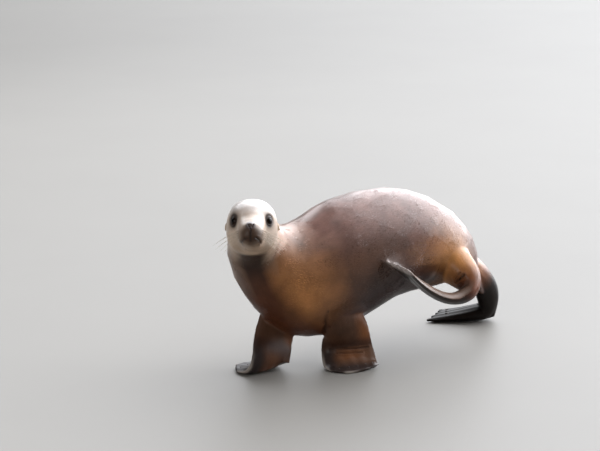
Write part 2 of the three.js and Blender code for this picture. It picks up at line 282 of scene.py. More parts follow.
# ---------------------------------------------------------------- guides
@dataclass(frozen=True)
class HeadFrame:
    """The head's own directions, from a point between the ears: ahead, to its left, up."""

    origin: tuple[float, float, float] = (-167.0, 4.0, 482.0)
    yaw: float = 54.0
    pitch: float = 22.0

    def axes(self) -> np.ndarray:
        """Rows: ahead, left and up."""
        yaw, pitch = math.radians(self.yaw), math.radians(self.pitch)
        ahead = np.array((-math.cos(yaw) * math.cos(pitch), -math.sin(yaw) * math.cos(pitch), math.sin(pitch)))
        left = np.array((math.sin(yaw), -math.cos(yaw), 0.0))
        return np.stack([ahead, left, np.cross(left, -ahead)])

    def local(self, points: np.ndarray) -> np.ndarray:
        """Points of the shared frame, in mm, as forward, side and up."""
        return (points - ORIGIN - np.array(self.origin)) @ self.axes().T

    def place(self, local: np.ndarray) -> np.ndarray:
        """Forward, side and up as points of the shared frame, in mm."""
        return np.asarray(local, dtype=np.float64) @ self.axes() + np.array(self.origin) + ORIGIN


HEAD = HeadFrame()
EYE_FORWARD, EYE_SIDE = 39.5, 42.5  # mm, the eyeball's middle in the head's own directions
GAZE = (0.71, 0.71, 0.05)  # where the left eye looks


def eye_place(hand: int) -> tuple[np.ndarray, np.ndarray]:
    """The middle of one eyeball and the way it looks, in the head's own directions.

    Args:
        hand: 1 for the left side, -1 for the right.

    Returns:
        The middle in mm, and the direction.
    """
    mirror = np.array((1, hand, 1))
    return np.array((EYE_FORWARD, EYE_SIDE, 0.0)) * mirror, np.array(GAZE) * mirror


def whisker_spot(row: int, column: int) -> np.ndarray:
    """Place of one whisker on the pad, forward, side and up in mm, counted from the top and the front."""
    return np.array((120 - 8.5 * column, 0, -36 - 6.0 * row - 1.2 * column))


@dataclass
class Guide:
    """A line through a part of the body with its width and height, which the coat lies along."""

    at: np.ndarray
    across: np.ndarray
    half: np.ndarray
    over: np.ndarray
    under: np.ndarray
    samples: int = 240
    flip: float = 1.0

    def __post_init__(self) -> None:
        """Fills in many even samples between the stations."""
        steps = np.linspace(0, len(self.at) - 1, self.samples)
        for _ in range(2):
            self._take(steps)
            gaps = np.linalg.norm(np.diff(self.centre, axis=0), axis=1)
            length = np.concatenate([[0.0], np.cumsum(gaps)])
            steps = np.interp(np.linspace(0, length[-1], self.samples), length, steps)
        self.length = length

    def _take(self, steps: np.ndarray) -> None:
        """Samples every row of numbers at these fractions of the stations."""
        rows = np.arange(len(self.at))

        def sample(values: np.ndarray) -> np.ndarray:
            """One array of the stations at the steps, with its corners rounded."""
            columns = values.reshape(len(rows), -1)
            out = np.stack([np.interp(steps, rows, columns[:, k]) for k in range(columns.shape[1])], 1)
            for _ in range(12):
                out[1:-1] = (out[:-2] + 2 * out[1:-1] + out[2:]) / 4
            return out.reshape((-1,) + values.shape[1:])

        self.centre = sample(self.at)
        self.back = np.gradient(self.centre, axis=0)
        self.back /= np.linalg.norm(self.back, axis=1)[:, None]
        wide = sample(self.across)
        wide -= (wide * self.back).sum(1)[:, None] * self.back
        self.wide = wide / np.linalg.norm(wide, axis=1)[:, None]
        self.rise = np.cross(self.wide, self.back) * self.flip
        self.sizes = np.stack([sample(self.half), sample(self.over), sample(self.under)], 1)

    def read(self, points: np.ndarray) -> dict[str, np.ndarray]:
        """Where points stand along and round the guide.

        Args:
            points: In mm.

        Returns:
            along (mm), part (0 to 1), side and height (-1 to 1 at the surface), gap (mm to the line) and back.
        """
        nearest = np.empty(len(points), dtype=np.int64)
        for first in range(0, len(points), 20000):
            block = points[first:first + 20000]
            square = (block ** 2).sum(1)[:, None] + (self.centre ** 2).sum(1) - 2 * block @ self.centre.T
            nearest[first:first + 20000] = square.argmin(1)
        offset = points - self.centre[nearest]
        wide = (offset * self.wide[nearest]).sum(1)
        high = (offset * self.rise[nearest]).sum(1)
        tall = np.where(high > 0, self.sizes[nearest, 1], self.sizes[nearest, 2])
        along = self.length[nearest] + (offset * self.back[nearest]).sum(1)
        return {
            "along": along, "part": along / self.length[-1], "side": wide / self.sizes[nearest, 0],
            "height": high / tall, "wide": wide, "high": high, "back": self.back[nearest],
            "gap": np.linalg.norm(offset, axis=1), "rise": self.rise[nearest],
        }


def guide_from(rows: tuple[tuple[float, ...], ...], flip: float = 1.0) -> Guide:
    """A flipper's guide from rows of place, direction across, half width and thickness.

    Args:
        rows: x, y, z, across x, across y, across z, half, thick, in the body's own drawing.
        flip: 1 or -1, so that rise points out of the flipper's upper face.

    Returns:
        The guide, in the shared frame.
    """
    table = np.array(rows, dtype=np.float64)
    across = table[:, 3:6] / np.linalg.norm(table[:, 3:6], axis=1)[:, None]
    return Guide(table[:, :3] + ORIGIN, across, table[:, 6], table[:, 7] / 2, table[:, 7] / 2, flip=flip)


def left_of(yaw: float) -> tuple[float, float, float]:
    """Direction to the left of something that faces yaw degrees left of -X."""
    return (math.sin(math.radians(yaw)), -math.cos(math.radians(yaw)), 0.0)


def body_guide() -> Guide:
    """The line from the nose to the tail, with the body's half width, height over and under it.

    Returns:
        The guide, in the shared frame.
    """
    sections = (
        (-129, 54, 430, 50, 74, 78, 84), (-107, 78, 400, 42, 83, 78, 94), (-76, 92, 366, 31, 97, 90, 114),
        (-32, 96, 333, 23, 112, 111, 148), (28, 92, 306, 16, 123, 142, 186), (100, 84, 290, 10, 131, 176, 216),
        (188, 80, 292, 2, 132, 196, 200), (288, 80, 308, -2, 129, 196, 178), (394, 80, 318, -3, 121, 184, 162),
        (494, 80, 304, -3, 108, 159, 148), (582, 76, 268, -1, 90, 133, 124), (650, 72, 222, 1, 67, 102, 70),
        (696, 70, 176, 0, 36, 54, 34), (736, 68, 136, 0, 20, 16, 12), (762, 68, 102, 0, 7, 5, 5),
    )
    face = ((131, -28, 12, 12, 12), (98, -34, 34, 37, 45), (57, -22, 45, 57, 62), (15, -10, 68, 76, 82),
            (-30, -10, 73, 80, 84))
    at = [HEAD.place((forward, 0, up)) for forward, up, *_ in face]
    rows = [(left_of(54), half, over, under) for _, _, half, over, under in face]
    for x, y, z, yaw, half, over, under in sections:
        at.append(np.array((x, y, z)) + ORIGIN)
        rows.append((left_of(yaw), half, over, under))
    columns = list(zip(*rows))
    return Guide(np.array(at), np.array(columns[0]), *(np.array(c, dtype=np.float64) for c in columns[1:]))


GUIDES = {
    Region.FORE_LEFT: guide_from((
        (153, 31, 240, -1, -0.15, 0.2, 68, 80), (160, 7, 150, -1, 0.2, 0.1, 66, 60),
        (170, -1, 98, -1, 0.45, 0, 71, 46), (175, 3, 50, -1, 0.72, 0, 78, 38), (164, -28, 14, -1, 0.72, 0, 82, 29),
        (152, -66, 6.5, -1, 0.72, 0, 79, 16), (140, -96, 3, -1, 0.72, 0, 68, 6))),
    Region.FORE_RIGHT: guide_from((
        (84, 140, 235, -1, 0.2, 0, 68, 78), (2, 110, 140, -1, 0.2, 0, 62, 58), (-38, 84, 92, -1, 0.17, 0, 60, 46),
        (-67, 55, 42, -1, 0.05, 0, 66, 38), (-72, 84, 12, -1, -0.04, 0, 72, 27),
        (-78, 130, 6, -1, -0.1, 0, 75, 15), (-88, 174, 7, -1, -0.15, 0, 72, 6)), -1),
    Region.HIND_LEFT: guide_from((
        (590, 56, 256, 0, -0.4, 1, 78, 150), (606, -8, 222, 0, -0.5, 0.9, 58, 112),
        (606, -72, 180, -0.2, -0.8, 0.5, 42, 64), (539, -70, 154, -0.5, -0.8, 0.3, 40, 40),
        (465, -62, 180, -0.57, -0.78, 0.3, 44, 32), (379, -68, 240, -0.57, -0.78, 0.3, 48, 24),
        (318, -81, 286, -0.5, -0.8, 0.3, 50, 15), (285, -91, 308, -0.45, -0.85, 0.3, 49, 8)), -1),
    Region.HIND_RIGHT: guide_from((
        (640, 92, 240, 0, 1, 0, 56, 100), (724, 90, 190, 0, 1, 0, 44, 90), (802, 92, 112, 0.1, 1, 0, 36, 80),
        (816, 104, 34, 0.4, 0.9, 0, 40, 66), (774, 137, 22, 0.59, 0.81, 0, 48, 44),
        (722, 183, 13, 0.59, 0.81, 0, 54, 28), (662, 237, 5, 0.59, 0.81, 0, 58, 9))),
}
BODY = body_guide()


def line_distance(points: np.ndarray, line: np.ndarray) -> np.ndarray:
    """Distance of each point from a line of straight pieces.

    Args:
        points: One row for each point.
        line: Corners of the line.

    Returns:
        One distance for each point.
    """
    nearest = np.full(len(points), np.inf)
    for start, end in zip(line[:-1], line[1:]):
        run = end - start
        t = np.clip(((points - start) @ run) / (run @ run), 0, 1)
        nearest = np.minimum(nearest, np.linalg.norm(points - start - t[:, None] * run, axis=1))
    return nearest


# ---------------------------------------------------------------- creases
@dataclass(frozen=True)
class View:
    """Where the camera stands and what it looks at, in mm of the body's own drawing."""

    eye: tuple[float, float, float] = (-3421.9, -4709.8, 1903.5)
    target: tuple[float, float, float] = (0.0, 0.0, 452.0)
    lens: float = 124.14  # mm
    sensor: float = 36.0  # mm
    picture: tuple[float, float] = (600.0, 451.0)  # pixels

    def ends(self) -> tuple[Vector, Vector]:
        """The eye and the target in the shared frame, in metres."""
        return tuple(Vector((np.array(place) + ORIGIN) * MM) for place in (self.eye, self.target))

    def ray(self, pixel: tuple[float, float]) -> Vector:
        """Direction from the eye through one pixel of the picture, counted from its upper left."""
        eye, target = self.ends()
        ahead = (target - eye).normalized()
        right = ahead.cross(Vector((0, 0, 1))).normalized()
        step = self.sensor / self.lens / self.picture[0]
        across, up = pixel[0] - self.picture[0] / 2, self.picture[1] / 2 - pixel[1]
        return (ahead + step * (across * right + up * right.cross(ahead))).normalized()


@dataclass(frozen=True)
class Fold:
    """A crease of the hide, drawn where the camera sees it, with the swell beside it and painted shade in it."""

    seen: tuple[tuple[float, float], ...]  # pixels of the camera's picture
    depth: float = 2.0
    width: float = 5.0

    def line(self) -> np.ndarray:
        """The crease laid on the flesh from the camera's side, in mm."""
        eye = CAMERA.ends()[0]
        return np.array([FLESH_FACES.ray_cast(eye, CAMERA.ray(pixel))[0] for pixel in self.seen]) / MM

    def away(self, points: np.ndarray) -> np.ndarray:
        """Distance of each point from the crease, in mm."""
        return line_distance(points, self.line())

    def shift(self, points: np.ndarray) -> np.ndarray:
        """How far out (or in, where negative) the fold moves each point."""
        away = self.away(points)
        return self.depth * (0.45 * bell(away - 1.7 * self.width, self.width) - bell(away, 0.6 * self.width))

    def painted_crease_shade(self, points: np.ndarray) -> np.ndarray:
        """Painted shade in the crease, 0 to 1, deepest in the groin's and armpits' creases."""
        return min(0.9, 0.25 * self.depth) * bell(self.away(points), 0.95 * self.width)


CAMERA = View()
FLESH = [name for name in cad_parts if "_nail" not in name]
FLESH_FACES = solid_faces(FLESH)[0]
NECK_UPPER = ((289.4, 235.0), (293.4, 245.0), (295.4, 255.0))
NECK_LOWER = ((297.4, 236.0), (301.4, 245.0), (303.0, 254.0))
ARMPIT = ((327.2, 312.0), (326.0, 322.5), (324.6, 333.0))
ARM_UPPER = ((356.0, 292.0), (362.0, 293.5), (368.0, 295.0))
ARM_LOWER = ((362.0, 301.0), (366.0, 304.5), (369.4, 308.0))
GROIN_FRONT = ((440.6, 266.0), (437.0, 275.0), (433.4, 279.0))
GROIN_REAR = ((434.6, 267.4), (431.0, 273.0), (428.6, 276.6))
ANKLE_UPPER = ((464.0, 275.0), (458.0, 281.0), (456.0, 282.0))
ANKLE_LOWER = ((460.0, 273.0), (455.0, 279.0))
WRIST_UPPER = ((330.0, 349.4), (343.0, 348.6), (355.0, 348.6), (368.0, 347.0))
WRIST_LOWER = ((337.0, 353.4), (349.5, 353.0), (362.0, 352.4))
FOLDS = (
    Fold(NECK_UPPER, 1.6, 5.0), Fold(NECK_LOWER, 2.0, 6.0), Fold(ARMPIT, 4.5, 8.0), Fold(ARM_UPPER, 1.6, 5.0),
    Fold(ARM_LOWER, 2.0, 5.0), Fold(GROIN_FRONT, 4.2, 5.0), Fold(GROIN_REAR, 3.6, 5.0),
    Fold(ANKLE_UPPER, 3.6, 4.5), Fold(ANKLE_LOWER, 1.8, 3.5), Fold(WRIST_UPPER, 2.2, 3.2),
    Fold(WRIST_LOWER, 1.6, 3.0),
)


# ---------------------------------------------------------------- markings
@dataclass(frozen=True)
class Colours:
    """The animal's colours when wet, by the part they lie on, with painted glare and painted shade among them."""

    back: str = "#7f5c52"
    flank: str = "#4f3528"
    loin: str = "#6b3726"
    shoulder: str = "#b97c46"
    # Dark under the chest: painted shade.
    chest: str = "#54301f"
    rump: str = "#cd8f55"
    # Dark belly hair with painted shade underneath.
    belly_hair_and_shade: str = "#341a14"
    # Painted shade under the chin and down the throat.
    under_chin_shade: str = "#2b1b16"
    # Paler upper neck: mauve hair lightened with painted glare.
    neck: str = "#b58d76"
    face: str = "#cbb7a6"
    # Painted glare on the top of the head, whiter than the face.
    crown_glare: str = "#e2d8d2"
    muzzle: str = "#3a2518"
    chin: str = "#b39c87"
    nose: str = "#524541"
    lid: str = "#1e1613"
    # Dark lip skin, also laid as painted shade in the mouth's crease, the groove under the nose and the folds.
    lip: str = "#2b1f1a"
    fore: str = "#533a2b"
    fore_edge: str = "#8a5531"
    wrist: str = "#2f1d17"
    fore_end: str = "#664b3b"
    slate: str = "#2f2a2a"
    # Pale line along the flippers' edges and tips: painted rim light.
    rim: str = "#9a9189"
    hind: str = "#1c1613"
    hind_upper: str = "#6e5b50"
    hind_under: str = "#2a1f1b"
    hind_tip: str = "#c3b6b1"
    ear: str = "#b8a084"


@dataclass
class Markings:
    """Colour, lie of the coat and wetness anywhere on the hide, for the skin and for each tuft."""

    colours: Colours = field(default_factory=Colours)

    def blend(self, base: np.ndarray, *coats: tuple[str, np.ndarray]) -> np.ndarray:
        """Lays named colours over the others in order, each by its amount."""
        for name, amount in coats:
            base = base + (linear(getattr(self.colours, name)) - base) * amount[:, None]
        return base

    def trunk(self, points: np.ndarray) -> np.ndarray:
        """Colours of the trunk and neck: grey-mauve back, the upper neck lightened with painted glare, tan shoulders
        and rump, and painted shade darkening the chest, the dark belly hair and the throat underneath.

        Args:
            points: In mm.

        Returns:
            Linear RGB rows.
        """
        place = BODY.read(points)
        along, height = place["along"], place["height"]
        colour = np.tile(linear(self.colours.flank), (len(points), 1))
        colour = self.blend(
            colour,
            ("back", ease(height, 0.2, 0.85)),
            # Upper neck paler, partly painted glare.
            ("neck", 0.8 * ease(along, 470, 330) * ease(height, -0.5, 0.1)),
            ("loin", 0.8 * bell(along - 870, 75) * bell(height - 0.2, 0.38)),
            ("shoulder", 0.95 * bell(along - 400, 118) * bell(height + 0.34, 0.44)),
            ("rump", 0.95 * bell(along - 975, 75) * bell(height + 0.05, 0.6)),
            # Painted shade darkens the underside of the chest.
            ("chest", ease(height, -0.62, -0.92) * ease(along, 290, 360) * ease(along, 640, 480)),
        )
        # Darker underneath: dark belly hair with painted shade.
        low = ease(height, 0.1, -0.6) * ease(along, 470, 620) * ease(along, 1080, 900)
        return self.blend(colour, ("belly_hair_and_shade", low))

    def head(self, points: np.ndarray) -> np.ndarray:
        """Colours of the head: pale cheeks and a crown whitened with painted glare, dark round the eyes, nose and
        mouth, with painted shade in the mouth's crease and the groove under the nose.

        Args:
            points: In mm.

        Returns:
            Linear RGB rows.
        """
        local = HEAD.local(points)
        forward, side, up = local[:, 0], np.abs(local[:, 1]), local[:, 2]
        colour = np.tile(linear(self.colours.face), (len(points), 1))
        colour = self.blend(
            colour,
            # Painted glare whitens the top of the head.
            ("crown_glare", ease(up, 5, 45)),
            ("chin", ease(up, -50, -78)),
        )
        front = np.stack([side * 0.8, up + 50], 1)
        pads = ease(forward, 70, 100) * ease(np.linalg.norm(front, axis=1), 38, 16)
        colour = self.blend(
            colour,
            ("muzzle", 0.9 * pads),
            ("muzzle", 0.55 * ease(forward, 96, 124) * bell(side, 14) * ease(up, 4, -16)),
        )
        band = line_distance(np.stack([forward, up], 1), LIP_LINE)
        # Dark muzzle along the mouth, partly painted shade under the upper lip.
        colour = self.blend(colour, ("muzzle", 0.6 * bell(band, 8) * ease(forward, 62, 92)))
        eye = np.linalg.norm((np.stack([forward, side, up], 1) - np.array((47, 47, 1))) * (0.9, 0.9, 1), axis=1)
        colour = self.blend(
            colour,
            ("lid", 0.96 * ease(eye, 25, 17)),
            ("muzzle", 0.4 * ease(eye, 38, 20)),
        )
        nose = np.linalg.norm(local - np.array((133, 0, -26)), axis=1)
        colour = self.blend(colour, ("nose", ease(nose, 16.5, 12.5)))
        # Painted shade in the groove under the nose and in the mouth's crease, in the dark lip colour.
        groove = bell(side, 3.5) * ease(up, -26, -34) * ease(up, -72, -66) * ease(forward, 104, 114)
        return self.blend(
            colour,
            ("lip", 0.9 * groove),
            ("lip", 0.9 * bell(band, 2.6) * ease(forward, 64, 84)),
        )

    def limb(self, region: Region, points: np.ndarray, normals: np.ndarray) -> np.ndarray:
        """Colours of one limb from its root, as the trunk's, to its tip.

        Args:
            region: Which limb.
            points: In mm.
            normals: Unit normals there.

        Returns:
            Linear RGB rows.
        """
        place = GUIDES[region].read(points)
        part, side, upper = place["part"], place["side"], (normals * place["rise"]).sum(1)
        colour = self.trunk(points)
        # Edges and tips of the flippers, where a painted rim light is laid.
        edge = np.maximum(ease(np.abs(side), 0.88, 0.97) * ease(part, 0.6, 0.72), ease(part, 0.965, 0.99))
        if region in (Region.FORE_LEFT, Region.FORE_RIGHT):
            leading = ease(side, 0.35, 0.75) * ease(part, 0.55, 0.68)
            colour = self.blend(
                colour,
                ("fore", 0.9 * ease(part, 0.1, 0.4)),
                ("fore_edge", 0.8 * ease(side, -0.25, -0.9) * ease(part, 0.62, 0.5)),
                ("fore_end", ease(part, 0.58, 0.8)),
            )
            if region is Region.FORE_RIGHT:
                colour = self.blend(colour, ("slate", 0.8 * ease(part, 0.5, 0.75) * ease(side, -0.9, -0.4)))
            return self.blend(
                colour,
                ("wrist", 0.65 * bell(part - 0.57, 0.06)),
                ("fore_edge", 0.6 * bell(part - 0.73, 0.08) * bell(side, 0.5)),
                ("slate", 0.85 * np.maximum(ease(part, 0.78, 0.92), leading)),
                # Painted rim light along the edges.
                ("rim", 0.9 * edge * ease(side, -0.3, 0.5)),
            )
        if region is Region.HIND_RIGHT:
            return self.blend(
                colour,
                ("rump", 0.6 * ease(part, 0.02, 0.12)),
                ("loin", 0.7 * ease(part, 0.16, 0.28)),
                ("hind", np.maximum(ease(part, 0.24, 0.4), ease(points[:, 2], 165, 110))),
            )
        return self.blend(
            colour,
            ("rump", 0.75 * bell(part - 0.12, 0.12)),
            ("loin", 0.6 * ease(part, 0.12, 0.26)),
            ("hind_under", ease(part, 0.3, 0.42) * ease(upper, 0.3, -0.1)),
            ("hind_upper", ease(part, 0.24, 0.38) * ease(upper, -0.1, 0.3)),
            ("hind_tip", 0.8 * ease(part, 0.9, 0.96)),
        )

    def colour_at(self, points: np.ndarray, normals: np.ndarray, shares: dict[Region, np.ndarray]) -> np.ndarray:
        """Colours anywhere, blended where regions meet.

        Args:
            points: In mm.
            normals: Unit normals there.
            shares: How much of each region, 0 to 1, at each point.

        Returns:
            Linear RGB rows.
        """
        place = BODY.read(points)
        facing = ease(place["along"], 285, 165)[:, None]
        trunk = self.trunk(points)
        body = trunk + facing * (self.head(points) - trunk)
        # Painted shade under the chin, down the middle of the throat.
        low = ease(place["height"], -0.45, -0.85) * ease(np.abs(place["side"]), 0.72, 0.3)
        low *= ease(place["along"], 108, 172) * ease(place["along"], 350, 260)
        body = self.blend(body, ("under_chin_shade", 0.92 * low))
        colour = (shares[Region.TRUNK] + shares[Region.HEAD])[:, None] * body
        colour += shares[Region.EAR][:, None] * linear(self.colours.ear)
        for region in LIMBS:
            colour += shares[region][:, None] * self.limb(region, points, normals)
        colour /= sum(shares.values())[:, None]
        # Painted shade in every fold's crease, in the dark lip colour.
        for fold in FOLDS:
            colour = self.blend(colour, ("lip", fold.painted_crease_shade(points)))
        return colour

    def film_at(self, points: np.ndarray, shares: dict[Region, np.ndarray]) -> np.ndarray:
        """How thick the film of water is: full on the coat, thin where the flippers stand and have drained.

        Args:
            points: In mm.
            shares: How much of each region at each point.

        Returns:
            0 to 1 for each point.
        """
        local, place = HEAD.local(points), BODY.read(points)
        eye = np.linalg.norm(np.stack([local[:, 0] - 47, np.abs(local[:, 1]) - 47, local[:, 2]], 1), axis=1)
        film = (1 - 0.4 * ease(place["height"], 0.5, 0.1)) * (1 - 0.75 * ease(place["height"], -0.3, -0.8))
        film *= 1 - 0.7 * shares[Region.HEAD] * ease(local[:, 2], -30, -45) * ease(local[:, 0], 50, 75)
        film *= 1 - 0.9 * ease(eye, 34, 24)
        for region in (Region.FORE_LEFT, Region.FORE_RIGHT, Region.HIND_RIGHT):
            film *= 1 - 0.8 * shares[region] * ease(GUIDES[region].read(points)["part"], 0.15, 0.4)
        return film

    def lie_at(self, points: np.ndarray, shares: dict[Region, np.ndarray]) -> tuple[np.ndarray, np.ndarray]:
        """The pattern's own coordinates, drawn out along the coat, and the way it lies.

        Args:
            points: In mm.
            shares: How much of each region at each point.

        Returns:
            Coordinates (metres along, across, up) and unit directions towards the hairs' tips.
        """
        place = BODY.read(points)
        pattern = np.stack([place["along"], place["wide"], place["high"]], 1)
        towards = place["back"].copy()
        for region in LIMBS:
            own = shares[region] > 0.5
            place = GUIDES[region].read(points[own])
            pattern[own] = np.stack([place["along"] + 900, place["wide"], place["high"]], 1)
            towards[own] = place["back"]
        return pattern * MM, towards


LIP_LINE = np.array(((66, -70), (84, -71), (104, -70), (122, -66), (136, -61)), dtype=np.float64)
MARKINGS = Markings()


# ---------------------------------------------------------------- materials
class Shader:
    """A new material with its Principled shader and an easy way to add nodes to it."""

    def __init__(self, name: str, **values: object) -> None:
        """Makes the material.

        Args:
            name: Name of the material.
            **values: Plain values of the shader's sockets, with _ for a space.
        """
        self.material = bpy.data.materials.new(name)
        self.material.use_nodes = True
        self.tree = self.material.node_tree
        self.main = self.tree.nodes["Principled BSDF"]
        for key, value in values.items():
            self.main.inputs[key.replace("_", " ")].default_value = value

    def add(self, kind: str, inputs: dict[object, object] | None = None, **settings: object) -> bpy.types.Node:
        """Adds one node with its settings, values and links.

        Args:
            kind: Node type, such as "ShaderNodeMix".
            inputs: For each socket's name or number, a value or the socket that feeds it.
            **settings: Properties of the node.

        Returns:
            The node.
        """
        node = self.tree.nodes.new(kind)
        for key, value in settings.items():
            setattr(node, key, value)
        for key, value in (inputs or {}).items():
            if isinstance(value, bpy.types.NodeSocket):
                self.tree.links.new(value, node.inputs[key])
            else:
                node.inputs[key].default_value = value
        return node

    def feed(self, socket: str, source: bpy.types.NodeSocket) -> None:
        """Links a socket of the main shader."""
        self.tree.links.new(source, self.main.inputs[socket])


@dataclass(frozen=True)
class WetHide:
    """Short wet fur over skin, lying flat in fine clumps: broken soft highlights, deeper colour in the clumps."""

    clump: float = 2.2  # mm across a clump of wet hairs
    clump_length: float = 16.0  # mm
    mottle: float = 60.0  # mm between paler and darker patches
    leather: float = 3.5  # mm between the wrinkles of the bare flippers
    roughness: float = 0.36

    def make(self) -> bpy.types.Material:
        """Builds the material.

        Returns:
            The material of the skin and of the coat.
        """
        shader = Shader("wet_short_fur", IOR=1.45, Specular_IOR_Level=0.2, Coat_Roughness=0.3, Coat_IOR=1.36)
        hide = shader.add("ShaderNodeAttribute", attribute_name="hide")
        lie = shader.add("ShaderNodeAttribute", attribute_name="lie")
        bare = shader.add("ShaderNodeAttribute", attribute_name="bare")
        film = shader.add("ShaderNodeAttribute", attribute_name="film")
        shader.feed("Coat Weight", film.outputs["Fac"])
        place = shader.add("ShaderNodeTexCoord")
        stretch = shader.add("ShaderNodeVectorMath", {
            0: lie.outputs["Vector"],
            1: (1000 / self.clump_length, 1000 / self.clump, 1000 / self.clump)}, operation="MULTIPLY")
        clumps = shader.add("ShaderNodeTexNoise", {
            "Vector": stretch.outputs[0], "Scale": 1.0, "Detail": 3.0, "Roughness": 0.55})
        patches = shader.add("ShaderNodeTexNoise", {
            "Vector": place.outputs["Object"], "Scale": 1000 / self.mottle, "Detail": 3.0})
        wrinkles = shader.add("ShaderNodeTexVoronoi", {
            "Vector": place.outputs["Object"], "Scale": 1000 / self.leather}, feature="SMOOTH_F1")
        value = shader.add("ShaderNodeMath", {0: clumps.outputs["Fac"], 1: 0.42, 2: 0.79}, operation="MULTIPLY_ADD")
        wide = shader.add("ShaderNodeMath", {0: patches.outputs["Fac"], 1: 1.1, 2: 0.45}, operation="MULTIPLY_ADD")
        both = shader.add("ShaderNodeMath", {0: value.outputs[0], 1: wide.outputs[0]}, operation="MULTIPLY")
        tint = shader.add("ShaderNodeVectorMath", {0: hide.outputs["Color"]}, operation="SCALE")
        shader.tree.links.new(both.outputs[0], tint.inputs["Scale"])
        shader.feed("Base Color", tint.outputs[0])
        gloss = shader.add("ShaderNodeMath", {
            0: clumps.outputs["Fac"], 1: 0.2, 2: self.roughness - 0.1}, operation="MULTIPLY_ADD")
        shader.feed("Roughness", gloss.outputs[0])
        skin_height = shader.add("ShaderNodeMix", {
            0: bare.outputs["Fac"], 2: clumps.outputs["Fac"], 3: wrinkles.outputs["Distance"]})
        bump = shader.add("ShaderNodeBump", {
            "Strength": 0.35, "Distance": 0.6 * MM, "Height": skin_height.outputs[0]})
        shader.feed("Normal", bump.outputs[0])
        shader.tree.links.new(bump.outputs[0], shader.main.inputs["Coat Normal"])
        return shader.material


@dataclass(frozen=True)
class EyeGloss:
    """A wet living eye: near-black brown iris, black pupil and a clear, very smooth front."""

    iris: str = "#20140d"
    pupil: str = "#050404"
    rim: str = "#3a2a20"

    def make(self) -> bpy.types.Material:
        """Builds the material, which reads how far a place is from the pupil's middle.

        Returns:
            The material of both eyeballs.
        """
        shader = Shader("wet_eyeball", Roughness=0.1, IOR=1.34, Specular_IOR_Level=0.16)
        gaze = shader.add("ShaderNodeAttribute", attribute_name="gaze")
        streak = shader.add("ShaderNodeTexNoise", {"Scale": 900.0, "Detail": 2.0})
        place = shader.add("ShaderNodeTexCoord")
        shader.tree.links.new(place.outputs["Object"], streak.inputs["Vector"])
        edge = shader.add("ShaderNodeMath", {
            0: streak.outputs["Fac"], 1: 0.08, 2: gaze.outputs["Fac"]}, operation="MULTIPLY_ADD")
        ramp = shader.add("ShaderNodeValToRGB", {0: edge.outputs[0]})
        stops = ramp.color_ramp.elements
        stops[0].position, stops[0].color = 0.34, (*linear(self.pupil), 1)
        stops[1].position, stops[1].color = 0.46, (*linear(self.iris), 1)
        for position, colour in ((0.8, self.iris), (0.95, self.rim)):
            stop = stops.new(position)
            stop.color = (*linear(colour), 1)
        shader.feed("Base Color", ramp.outputs["Color"])
        return shader.material


@dataclass(frozen=True)
class NailHorn:
    """Dark horn, worn to a dull polish, with fine growth lines."""

    colour: str = "#2b2420"
    pale: str = "#5a4a3e"
    line: float = 1.2  # mm between growth lines

    def make(self) -> bpy.types.Material:
        """Builds the material of the nails."""
        shader = Shader("nail_horn", IOR=1.54)
        place = shader.add("ShaderNodeTexCoord")
        grain = shader.add("ShaderNodeTexNoise", {
            "Vector": place.outputs["Object"], "Scale": 1000 / self.line, "Detail": 2.0})
        mix = shader.add("ShaderNodeMix", {
            0: grain.outputs["Fac"], 6: (*linear(self.colour), 1), 7: (*linear(self.pale), 1)}, data_type="RGBA")
        shader.feed("Base Color", mix.outputs[2])
        rough = shader.add("ShaderNodeMath", {0: grain.outputs["Fac"], 1: 0.25, 2: 0.22}, operation="MULTIPLY_ADD")
        shader.feed("Roughness", rough.outputs[0])
        return shader.material


@dataclass(frozen=True)
class WhiskerHorn:
    """Stiff pale whiskers, amber at the root and clear at the tip."""

    root: str = "#8a755c"
    tip: str = "#d9cbb6"

    def make(self) -> bpy.types.Material:
        """Builds the material, which reads how far along the whisker a place is."""
        shader = Shader("whisker_horn", IOR=1.54, Roughness=0.3)
        length = shader.add("ShaderNodeAttribute", attribute_name="reach")
        mix = shader.add("ShaderNodeMix", {
            0: length.outputs["Fac"], 6: (*linear(self.root), 1), 7: (*linear(self.tip), 1)}, data_type="RGBA")
        shader.feed("Base Color", mix.outputs[2])
        return shader.material


@dataclass(frozen=True)
class StudioFloor:
    """Pale matt studio floor with a very faint unevenness."""

    colour: str = "#8a8782"

    def make(self) -> bpy.types.Material:
        """Builds the floor's material."""
        shader = Shader("matt_studio_floor", Roughness=0.55)
        place = shader.add("ShaderNodeTexCoord")
        cloud = shader.add("ShaderNodeTexNoise", {"Vector": place.outputs["Object"], "Scale": 1.5, "Detail": 4.0})
        pale = linear(self.colour)
        mix = shader.add("ShaderNodeMix", {
            0: cloud.outputs["Fac"], 6: (*(pale * 0.94), 1), 7: (*(pale * 1.03), 1)}, data_type="RGBA")
        shader.feed("Base Color", mix.outputs[2])
        return shader.material


